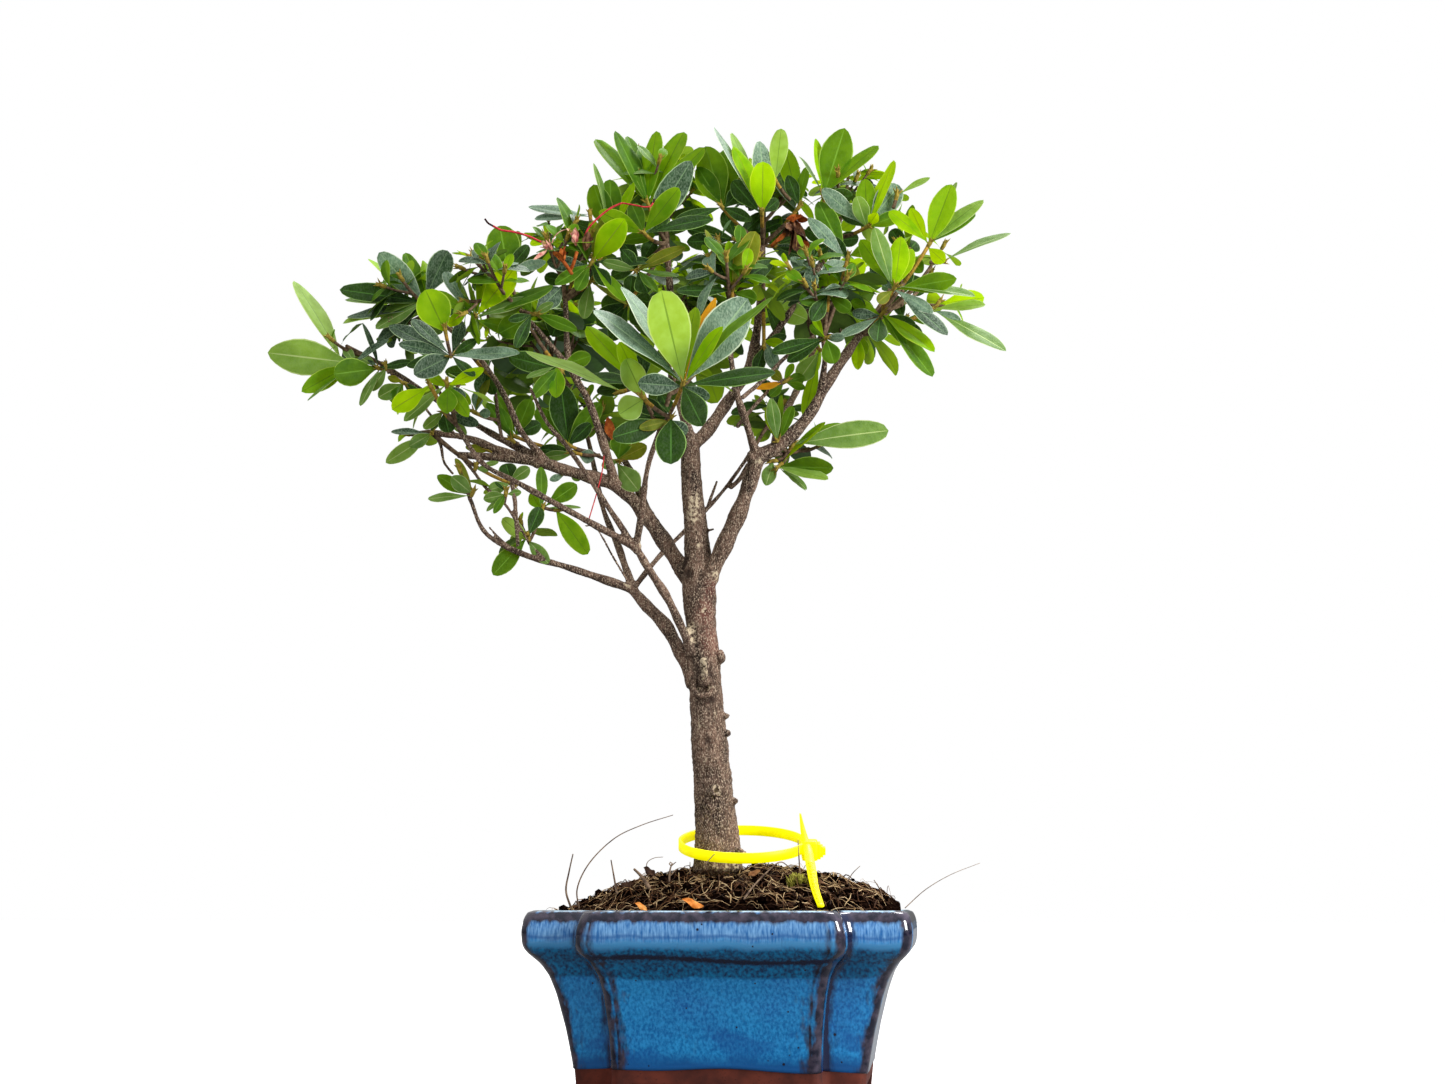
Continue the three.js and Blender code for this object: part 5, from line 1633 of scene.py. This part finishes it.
        (773, 373, 18, "dark", -6), (639, 383, 25, "deep", -6), (709, 398, 14, "deep"),
        (702, 425, 29, "dark", -18),
    ]],
    ["bough_thin_front", (671, 418, -66), [
        (671, 463, 34, "dark", -10), (614, 437, 25, "dark", -8), (640, 428, 12, "olive"),
        (638, 402, 20, "dark", 20), (652, 400, 18, "deep", 22), (662, 396, 16, "dark", 20),
        (634, 416, 18, "dark", 24), (686, 434, 16, "deep", 10),
    ]],
    ["bough_thin_front", (640, 384, -66), [
        (588, 328, 21, "bright", -2), (620, 343, 19, "fresh", -10), (644, 350, 17, "deep"),
        (598, 390, 18, "dark", 24), (612, 374, 16, "dark", 22), (584, 378, 16, "dark", 26),
    ]],
    [(671, 418, -66), (642, 397, -72), [(626, 360, 27, "light", -4), (620, 414, 28, "light", -4)]],
    [(640, 384, -66), (620, 392, -62), [(528, 352, 11, "light", 0)]],
    ["bough_middle_rise", (590, 282, -12), [
        (626, 304, 7, "olive", -4), (584, 318, 17, "pale", 2), (572, 300, 12, "dark", 4),
        (598, 262, 6, "deep", -4),
    ]],
    ["bough_middle_rise", (572, 282, -4), [(545, 277, 15, "dark", 2), (556, 298, 14, "deep", 2)]],
    # Dark leaves just behind the front sprays: painted shade inside the crown.
    ["leader_left", (628, 302, 12), [
        (602, 306, 24, "dark", 2), (598, 324, 24, "dark", 4), (612, 340, 20, "dark", 4),
        (642, 324, 20, "dark", 4), (650, 302, 20, "dark", 2), (632, 276, 18, "dark", 2),
        (610, 284, 18, "deep", 4),
    ]],
    ["leader_left", (640, 264, 8), [
        (622, 242, 18, "dark", 2), (654, 240, 18, "dark", 2), (612, 276, 16, "dark", 2),
    ]],
    ["leader_right", (736, 240, 10), [
        (688, 242, 20, "dark", 2), (688, 229, 18, "dark", 2), (724, 212, 18, "dark", 4),
        (764, 214, 18, "dark", 4), (716, 264, 16, "deep", 4), (786, 220, 14, "dark", 6),
    ]],
    ["leader_right_fork", (830, 242, 2), [
        (806, 230, 18, "dark", 2), (858, 238, 18, "dark", 2), (836, 264, 16, "deep", 2),
        (816, 256, 14, "dark", 2),
    ]],
    ["bough_low_rise", (567, 444, 24), [
        (561, 386, 33, "dark"), (537, 410, 20, "green"), (600, 404, 22, "green"), (590, 424, 16, "dark"),
    ]],
    ["bough_low_rise", (514, 436, 20), [
        (530, 400, 20, "green"), (481, 400, 12, "light"), (496, 396, 14, "green"), (540, 424, 16, "dark"),
    ]],
    ["bough_low_rise", (618, 461, 20), [
        (638, 490, 24, "pale", -18), (622, 437, 24, "green", 2), (646, 446, 18, "olive", 2),
        (602, 466, 12, "pale", 0),
    ]],
    ["twig_right", (778, 467, -12), [
        (832, 468, 23, "green", -8), (827, 479, 11, "light"), (805, 490, 4, "pale"),
        (824, 423, 7, "bright", 2), (806, 489, 8, "pale", 2),
    ]],
    [(783, 458, -10), (773, 461, -10), [(766, 485, 16, "pale", -2)]],
    ["twig_right", (778, 442, -18), [
        (771, 399, 15, "pale"), (781, 396, 9, "green"), (792, 407, 12, "green"), (766, 412, 10, "bright"),
    ]],
    [(783, 458, -10), (793, 444, -12), [(886, 431, 29, "pale", 4), (840, 424, 10, "fresh", 8)]],
    ["leader_right", (764, 303, 6), [(806, 319, 25, "pale", 2), (784, 340, 14, "dark", 2)]],
    ["leader_right", (764, 345, 2), [
        (756, 373, 15, "dark", 2), (777, 370, 15, "frost", -2), (786, 336, 11, "dark", 2),
        (784, 344, 11, "bright", -2),
    ]],
    [(812, 338, -14), (826, 338, -36), [
        (773, 352, 14, "dark", 0), (788, 361, 14, "dark", 4), (834, 363, 21, "green", 2),
        (811, 325, 11, "green", 4), (813, 315, 9, "bright", 0), (844, 337, 10, "frost", -2),
    ]],
    [(812, 338, -12), (820, 350, 0), [(805, 416, 15, "fresh", 4), (799, 380, 22, "pale", 2)]],
    [(775, 385, -5), (786, 381, -4), [
        (805, 388, 9, "green", -2), (770, 396, 11, "green", -2), (757, 389, 8, "amber"),
        (793, 364, 9, "fresh"), (804, 377, 14, "green", 4), (772, 372, 12, "olive", 4),
    ]],
    ["bough_left_far", (432, 433, 4), [
        (387, 462, 18, "pale"), (392, 432, 7, "deep"), (410, 446, 15, "pale"), (436, 416, 12, "dark"),
    ]],
    ["bough_low_left", (473, 492, -6), [
        (452, 477, 17, "pale"), (438, 476, 15, "green"), (429, 499, 10, "pale"), (456, 459, 9, "olive"),
    ]],
    ["twig_low_middle", (528, 537, 6), [
        (494, 574, 21, "green"), (548, 563, 15, "pale"), (540, 508, 17, "dark"), (503, 519, 16, "light"),
    ]],
    ["twig_low_middle", (543, 508, 10), [
        (576, 485, 19, "green"), (531, 493, 15, "fresh"), (541, 468, 13, "green"), (580, 508, 5, "pale"),
    ]],
    [(545, 508, 10), (559, 510, 10), [(587, 553, 22, "fresh", -2)]],
    [(504, 503, 2), (506, 492, 2), [
        (484, 499, 13, "pale"), (487, 511, 6, "pale"), (494, 513, 9, "green"), (495, 482, 4, "dark"),
        (521, 492, 8, "pale"),
    ]],
    [(600, 455, 20), (572, 452, 20), [
        (545, 457, 12, "pale", 2), (540, 449, 14, "dark", 4), (594, 458, 16, "frost", 2),
    ]],
    [(585, 470, 16), (566, 474, 15), [(550, 480, 8, "frost", -1), (580, 480, 8, "pale", -1)]],
    ["bough_left_far", (512, 484, 10), [
        (506, 464, 20, "dark"), (529, 468, 14, "pale"), (489, 490, 14, "pale"), (484, 493, 9, "light"),
    ]],
]

# %% Growing every mass
SPRAY_TINTS = [
    ("dark", "green", "fresh"),
    ("deep", "dark", "green", "fresh"),
    ("green", "fresh", "bright"),
    ("dark", "green", "green", "bright"),
    ("frost", "deep", "green"),
    ("pale", "green", "fresh"),
]
BEHIND = ("leaves_back_left", "leaves_back", "leaves_back_right")
THIN = (
    "leaves_right_spray", "leaves_front", "leaves_far_left", "leaves_left_hanging", "leaves_low_left",
    "leaves_low_middle", "leaves_left_low", "leaves_far_right",
)
# How long the grown leaves are, shorter where the photograph shows sky close round a mass.
LEAF_SIZE = {"behind": 1, "thin": 0.62, "full": 0.75}
SHORTER = {
    "leaves_right_top": 0.6, "leaves_middle_left": 0.6, "leaves_top_right": 0.66, "leaves_top_left": 0.66,
    "leaves_front_left": 0.6, "leaves_left": 0.66, "leaves_right_middle": 0.66,
}
# A leaf that points nearer to the eye than this is left out; -1 keeps them all.
NEAREST = {"behind": -1.0, "thin": 0.3, "full": -0.3}


def grow_mass(crown, name):
    """One mass: full behind, kept clear of the placed leaves in front, and sparse where sky shows."""
    limb, middle, spread, shoots, leaves, longest, seed = MASSES[name]
    kind = "behind" if name in BEHIND else "thin" if name in THIN else "full"
    longest *= SHORTER.get(name, LEAF_SIZE[kind])
    foot, centre = np.array(LIMBS[limb][-1], float), np.array(middle, float)
    crown.twig(np.linspace(foot - unit(centre - foot), centre, 6), LIMBS[limb][1], SHOOT["radius"])
    more = seeded(seed + 100)

    def end_with_leaves(path, first, last, count, length):
        crown.twig(path, SHOOT["radius"] * first, SHOOT["radius"] * last)
        tints = SPRAY_TINTS[int(more() * len(SPRAY_TINTS))]
        crown.rosette(path, count, length, tints, more, NEAREST[kind])

    for shoot in grow_shoots(limb, middle, spread, shoots, seeded(seed)):
        end_with_leaves(shoot, 1.15, 0.8, leaves + 2, longest)
        for side in side_shoots(shoot, more, 0 if kind == "thin" else SIDE["count"], spread * SIDE["spread"]):
            end_with_leaves(side, 0.8, 0.6, leaves, longest * SIDE["leaf"])


crown = Crown()
for name in MASSES:
    grow_mass(crown, name)
spray_draw = seeded(77)
for start, middle, leaves in SPRAYS:
    crown.spray(start, middle, leaves, spray_draw)
print("leaves:", sum(len(gathered.points) for gathered in crown.leaves.values()))

for tint, gathered in crown.leaves.items():
    piece = gathered.build(f"leaves_{tint}_green", leaf_materials(tint), "foliage")
    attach(piece, BODY)
    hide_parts(*MASSES)

young_wood = plain_finish("young_bark", "4A372B", "7E6852", 0.8, 600.0)
twigs = crown.twigs.build("twigs", [young_wood], "bark")
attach(twigs, BODY)
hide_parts(*MASSES)
for name, gathered, slot, colours in (
    ("young_shoots", crown.shoots, "bark", ("86682A", "B8923E")),
    ("leaf_buds", crown.buds, "foliage", ("7A6A2A", "A8923E")),
):
    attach(gathered.build(name, [plain_finish(name, *colours, 0.9, 900.0)], slot), BODY)

# %% [markdown]
# ## Spent blossom
# Two flowers on the left have dropped their petals and kept the calyx and the long red pistil; one on the
# right has dried on its stalk. Lobes and dry petals are bent from the same grid as the leaves, with a
# stronger wave to crumple them, and pistils, stamens and stalks are tubes. All places are the photograph's
# pixels and a depth again.

# %% What is left of three flowers
BLOSSOM = {
    "red": ("A41A2E", "D84A48"), "tip": ("22090C", "3E1216"), "pink": ("B0585A", "E0B49A"),
    "rust": ("8A3A12", "BC6A2C"), "brown": ("4A2A20", "8A6446"), "straw": ("7A5C30", "A8884E"),
}
KIND = {name: index for index, name in enumerate(BLOSSOM)}
THREADS = [
    # kind, radius in millimetres, places
    ("red", 0.55, [(541, 242, -27), (528, 236, -30), (514, 232, -32), (501, 230, -34), (493, 226, -35)]),
    ("tip", 0.5, [(493, 226, -35), (488, 223, -36), (485, 219, -36)]),
    ("red", 0.5, [(584, 239, -27), (588, 229, -28), (598, 218, -30), (611, 208, -31), (622, 203, -32)]),
    ("red", 0.42, [(622, 203, -32), (634, 205, -33), (645, 207, -33), (651, 206, -33), (653, 203, -33)]),
    ("tip", 0.5, [(653, 203, -33), (654, 201, -33), (654, 199, -33)]),
    ("red", 0.3, [(604, 456, 2), (602, 472, 2), (597, 492, 1), (589, 519, 0)]),
    ("pink", 0.22, [(552, 243, -28), (555, 236, -28), (561, 231, -28), (570, 229, -28)]),
    ("rust", 0.9, [(572, 274, -24), (566, 265, -27), (562, 260, -28), (554, 253, -28)]),
    ("rust", 0.85, [(570, 272, -24), (574, 262, -27), (577, 252, -28)]),
    ("rust", 1.0, [(772, 246, -14), (778, 240, -18), (786, 233, -20), (790, 224, -22), (795, 218, -23)]),
    ("straw", 0.3, [(799, 230, -26), (803, 246, -27), (803, 256, -27), (800, 263, -27), (798, 261, -27)]),
    ("straw", 0.3, [(794, 226, -26), (797, 240, -28), (796, 247, -28)]),
]
CUPS = [
    # kind, foot, place that it opens to, number of lobes, their width share, how far they open
    ("pink", (553, 250, -28), (542, 241, -30), 5, 0.5, 0.55),
    ("straw", (551, 249, -29), (543, 242, -31), 4, 0.5, 0.3),
    ("rust", (564, 262, -28), (559, 246, -31), 4, 0.6, 0.45),
    ("pink", (576, 246, -28), (573, 226, -29), 4, 0.42, 0.22),
    ("brown", (585, 251, -27), (588, 233, -29), 4, 0.5, 0.35),
    ("pink", (392, 326, -4), (390, 317, -9), 4, 0.6, 0.6),
    ("brown", (795, 219, -23), (800, 250, -26), 5, 0.42, 0.32),
    ("rust", (795, 218, -24), (803, 226, -27), 3, 0.8, 0.9),
    ("brown", (793, 220, -23), (786, 236, -26), 4, 0.5, 0.4),
]
SINGLES = [
    # kind, foot, tip, width in pixels
    ("pink", (547, 250, -30), (532, 262, -33), 5), ("rust", (612, 440, -50), (607, 417, -52), 12),
    ("rust", (804, 240, -27), (808, 250, -28), 8), ("rust", (786, 233, -24), (776, 242, -24), 6),
    ("rust", (786, 219, -26), (803, 216, -26), 7),
]


def lobe(parts, kind, foot, toward, face, length, share, draw):
    points = leaf_points(
        foot, toward, face, length, share,
        widest=0.45, blunt=0.7, fold=0.45,
        bow=between((-0.7, 0.5), draw()),
        twist=between((-0.6, 0.6), draw()),
        wave=between((-0.5, 0.5), draw()),
    )
    parts.add(points, LEAF_FACES, KIND[kind])


def make_blossoms():
    draw = seeded(61)
    parts = Gathered()
    for kind, radius, places in THREADS:
        parts.add(*tube(seen_path(places, 1.0), radius, 8), KIND[kind])
    for kind, foot, opening, count, share, opened in CUPS:
        foot, opening = seen_at(*foot), seen_at(*opening)
        heading = unit(opening - foot)
        for k in range(count):
            around = 2 * math.pi * k / count + 0.5 * draw()
            toward = aside(heading, opened * between((0.6, 1.2), draw()), around)
            face = unit(heading - toward * heading.dot(toward))
            length = np.linalg.norm(opening - foot) * between((0.85, 1.15), draw())
            lobe(parts, kind, foot, toward, face, length, share, draw)
    for kind, foot, tip, width in SINGLES:
        foot, tip = seen_at(*foot), seen_at(*tip)
        toward = unit(tip - foot)
        length = np.linalg.norm(tip - foot)
        face = facing_eye(foot, toward, 0.2)
        lobe(parts, kind, foot, toward, face, length, width * pixel(-30) / length, draw)
    finishes = [plain_finish(f"blossom_{name}", *pair, 0.7, 420.0) for name, pair in BLOSSOM.items()]
    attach(parts.build("spent_blossoms", finishes, "blossom"), BODY)


make_blossoms()

# %% [markdown]
# ## Loose things on the soil
# Stray roots stand out against the white sky, and dry sticks, flakes of bark and a tuft of moss lie on the
# mound. Roots and sticks are tubes, flakes come from the leaf's grid, and the moss is short blades drawn
# round a point.

# %% Root hairs, sticks, flakes and moss
WHISKERS = [
    # radius in millimetres, then the photograph's pixels and the depth of the places that each passes
    (0.28, [
        (579, 908, -50), (577, 890, -50), (588, 865, -48), (615, 838, -44), (642, 825, -42), (673, 815, -40),
    ]),
    (0.42, [(571, 908, -48), (566, 891, -48), (569, 872, -48), (573, 854, -48)]),
    (0.42, [(617, 894, -40), (614, 877, -40), (611, 860, -40)]),
    (0.95, [(649, 888, -38), (642, 877, -38), (634, 869, -38)]),
    (0.2, [(648, 880, -36), (647, 863, -36), (654, 858, -36), (663, 857, -36)]),
    (0.4, [(669, 882, -34), (670, 870, -34), (672, 862, -34), (669, 863, -34), (671, 866, -34)]),
    (0.3, [(671, 866, -34), (676, 862, -34)]),
    (0.22, [(670, 876, -34), (679, 868, -33), (689, 869, -32)]),
    (0.25, [(690, 874, -30), (690, 862, -30)]),
    (0.18, [(905, 908, -20), (925, 890, -16), (950, 875, -10), (980, 863, -4)]),
    (0.4, [(744, 899, -53), (752, 888, -46), (764, 875, -40), (781, 862, -34), (790, 868, -32)]),
    (0.22, [(698, 850, -13), (707, 845, -15), (717, 845, -17), (725, 853, -17)]),
    (0.18, [(705, 864, -26), (722, 846, -22), (736, 830, -16)]),
    (0.3, [(800, 874, -34), (799, 858, -34), (798, 840, -34)]),
    (0.3, [(884, 905, -30), (880, 890, -30), (874, 880, -30)]),
    (0.25, [(846, 886, -20), (852, 874, -20), (860, 866, -20)]),
]
FLAKES = [
    # foot, tip, seen width in pixels, colour pair
    ((635, 903, -55), (648, 909, -55), 6, ("C06A22", "E0A058")),
    ((682, 899, -55), (708, 908, -55), 8, ("B86420", "E09048")),
    ((748, 876, -40), (760, 869, -40), 6, ("6A4428", "94683E")),
    ((655, 876, -38), (644, 866, -38), 9, ("20120C", "3E281A")),
    ((620, 886, -42), (633, 882, -42), 6, ("20120C", "3E281A")),
    ((815, 880, -30), (828, 887, -32), 7, ("4E3424", "7A5A40")),
    ((806, 892, -40), (826, 903, -44), 7, ("20120C", "3E281A")),
]
FLAKE = {"widest": 0.45, "blunt": 0.6, "fold": 0.3, "bow": 0.4, "twist": 0.3, "wave": 0.5}
LIES_TO = [0, -0.8, 0.6]  # the way that a flake's upper side turns
MOSS = {
    "place": (797, 888, -33), "reach": (5.2, 4.0, 5.0), "blades": 260, "length": (1.2, 3.2),
    "from": (0.6, 0.95), "upright": 0.6, "radii": (0.35, 0.28, 0.08),
}


def lay_roots():
    hairs = Gathered()
    for radius, places in WHISKERS:
        path = seen_path(places, 1.2)
        hairs.add(*tube(path, radius * np.linspace(1.2, 0.6, len(path)), 6))
    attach(hairs.build("soil_whiskers", [plain_finish("root_hair", "4A3A30", "8E7660", 0.9)], "soil"), BODY)


def lay_flakes():
    flakes = Gathered()
    for index, (foot, tip, width, _) in enumerate(FLAKES):
        foot, tip = seen_at(*foot), seen_at(*tip)
        toward = unit(tip - foot)
        length = np.linalg.norm(tip - foot)
        face = unit(np.cross(np.cross(toward, LIES_TO), toward))
        share = width * pixel(-50) / length
        flakes.add(leaf_points(foot, toward, face, length, share, **FLAKE), LEAF_FACES, index)
    finishes = [plain_finish(f"flake_{n}", *colours, 0.8, 500.0) for n, (*_, colours) in enumerate(FLAKES)]
    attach(flakes.build("soil_flakes", finishes, "soil"), BODY)


def lay_moss():
    draw = seeded(47)
    moss = Gathered()
    middle = seen_at(*MOSS["place"])
    for _ in range(MOSS["blades"]):
        out = unit(np.array([draw() - 0.5, draw() - 0.6, draw() * 0.9]))
        start = middle + out * MOSS["reach"] * between(MOSS["from"], draw())
        lean = unit(out + UP * MOSS["upright"]) * between(MOSS["length"], draw())
        moss.add(*tube(np.array([start, start + lean * 0.55, start + lean]), np.array(MOSS["radii"]), 4))
    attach(moss.build("soil_moss", [plain_finish("moss", "5E5C1E", "AEA84A", 0.95, 700.0)], "soil"), BODY)


lay_roots()
lay_flakes()
lay_moss()

# %% [markdown]
# ## The cable tie
# A plastic tie hangs loosely round the trunk's foot, its free end cut short and stuck in the soil. The
# strap is a flat band swept round the loop, with a ribbed face on the free end, and the head is a small
# block with rounded edges.

# %% The tie
TIE = {
    "width": 4.8, "thickness": 1.3, "reach": 30.0, "depth_share": 0.9, "steps": 96,
    "tilt": 16.2, "centre": (6.4, 0.0, 111.4),
}
TAIL = [
    (33.8, 0, 125.2), (34.8, -4, 117.6), (36.6, -12, 108.1), (36.9, -26, 101.4), (37.8, -44, 90.3),
    (39.5, -57, 83),
]
HEAD = [
    # size and place of the block, then of the stepped plates on its outer side
    ((7.6, 7, 9.4), (1.4, -6, -1.4)), ((1.4, 6.4, 7.0), (5.7, -6, -1.6)),
    ((1.3, 5.4, 5.0), (6.9, -6, -1.8)), ((1.4, 3.8, 3.4), (8.0, -6, -1.8)),
]
TAPER = {
    "at": (0, 0.12, 0.3, 0.55, 0.8, 1), "width": (0.8, 2.4, 4.2, 4.3, 3.4, 2.9),
    "thickness": 1.4, "step": 0.6,
}
RIBS = {"pitch": 1.3, "from": 0.5, "radius": 0.26, "width": 2.4}
# The strap's rounded section, in shares of its width and its thickness.
SECTION = np.array([
    (-0.5, -0.25), (-0.46, -0.5), (0.46, -0.5), (0.5, -0.25),
    (0.5, 0.25), (0.46, 0.5), (-0.46, 0.5), (-0.5, 0.25),
])
TO_RIGHT = np.array([1.0, 0, 0])


def make_yellow_with_painted_glow():
    """Fluorescent plastic. Its emission is a painted glow, which stands in for the dye's fluorescence and
    flattens the shading to an even bright yellow.
    """
    finish = Finish("yellow_plastic_painted_glow", 0.45, 0.25)
    clouds = finish.mottle("F8EC00", "FFF800", 200)
    finish.tone = clouds["Color"]
    # Painted glow: the emission evens out the shading.
    finish.set("Emission Color", finish.tone)
    finish.set("Emission Strength", 0.6)
    finish.bump(clouds["Mask"], 0.05, 0.5)
    return finish.done()


def band(path, across, widths, thickness):
    """Rings of a flat strap along a path; across is the direction of its width."""
    rings = []
    for middle, tangent, width in zip(path, np.gradient(path, axis=0), widths):
        through = unit(np.cross(tangent, across))
        rings.append(middle + SECTION @ [across * width, through * thickness])
    return rings


def in_loop(points):
    """From the flat loop's own plane to its tilted place round the trunk."""
    tilt = math.radians(TIE["tilt"])
    x, y, z = np.atleast_2d(points).astype(float).T
    tilted = [x, y * math.cos(tilt) - z * math.sin(tilt), y * math.sin(tilt) + z * math.cos(tilt)]
    return np.column_stack(tilted) + TIE["centre"]


def add_loop(tie):
    turns = np.linspace(0, 2 * math.pi, TIE["steps"], endpoint=False)
    radius = TIE["reach"] - TIE["thickness"] / 2
    path = np.column_stack([radius * np.cos(turns), radius * TIE["depth_share"] * np.sin(turns), 0 * turns])
    closed = np.vstack([path[-1:], path, path[:1]])
    rings = band(closed, UP, np.full(len(closed), TIE["width"]), TIE["thickness"])[1:-1]
    tie.add(in_loop(np.vstack(rings)), loft_faces(len(rings), len(SECTION), ends="looped"))


def add_head(tie):
    for size, place in HEAD:
        head = bmesh.new()
        block = bmesh.ops.create_cube(head, size=1.0)["verts"]
        bmesh.ops.scale(head, verts=block, vec=size)
        rounding = {"offset": min(size) * 0.2, "segments": 2, "affect": "EDGES", "profile": 0.6}
        bmesh.ops.bevel(head, geom=head.edges[:], **rounding)
        bmesh.ops.translate(head, verts=head.verts[:], vec=np.add(place, (TIE["reach"], 0, 0)))
        points, faces = unpacked(head)
        tie.add(in_loop(points), faces)


def add_tail(tie):
    tail = curve_through(TAIL, TAPER["step"])
    widths = np.interp(np.linspace(0, 1, len(tail)), TAPER["at"], TAPER["width"])
    rings = band(tail, TO_RIGHT, widths, TAPER["thickness"])
    tie.add(np.vstack(rings), loft_faces(len(rings), len(SECTION), ends="capped"))
    out = unit(np.cross(TO_RIGHT, tail[-1] - tail[0]))
    out = out if out[1] < 0 else -out
    reach = TO_RIGHT * RIBS["width"] / 2
    for k in range(int(len(tail) * RIBS["from"]), len(tail) - 3, round(RIBS["pitch"] / TAPER["step"])):
        middle = tail[k] + out * TAPER["thickness"] / 2
        tie.add(*tube(np.array([middle - reach, middle, middle + reach]), RIBS["radius"], 5), 1)


def make_tie():
    tie = Gathered()
    add_loop(tie)
    add_head(tie)
    add_tail(tie)
    finishes = [make_yellow_with_painted_glow(), plain_finish("yellow_in_shade", "8E8800", "B8B000", 0.6)]
    piece = tie.build("cable_tie_strap", finishes, "tie")
    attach(piece, BODY)
    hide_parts("cable_tie")


make_tie()
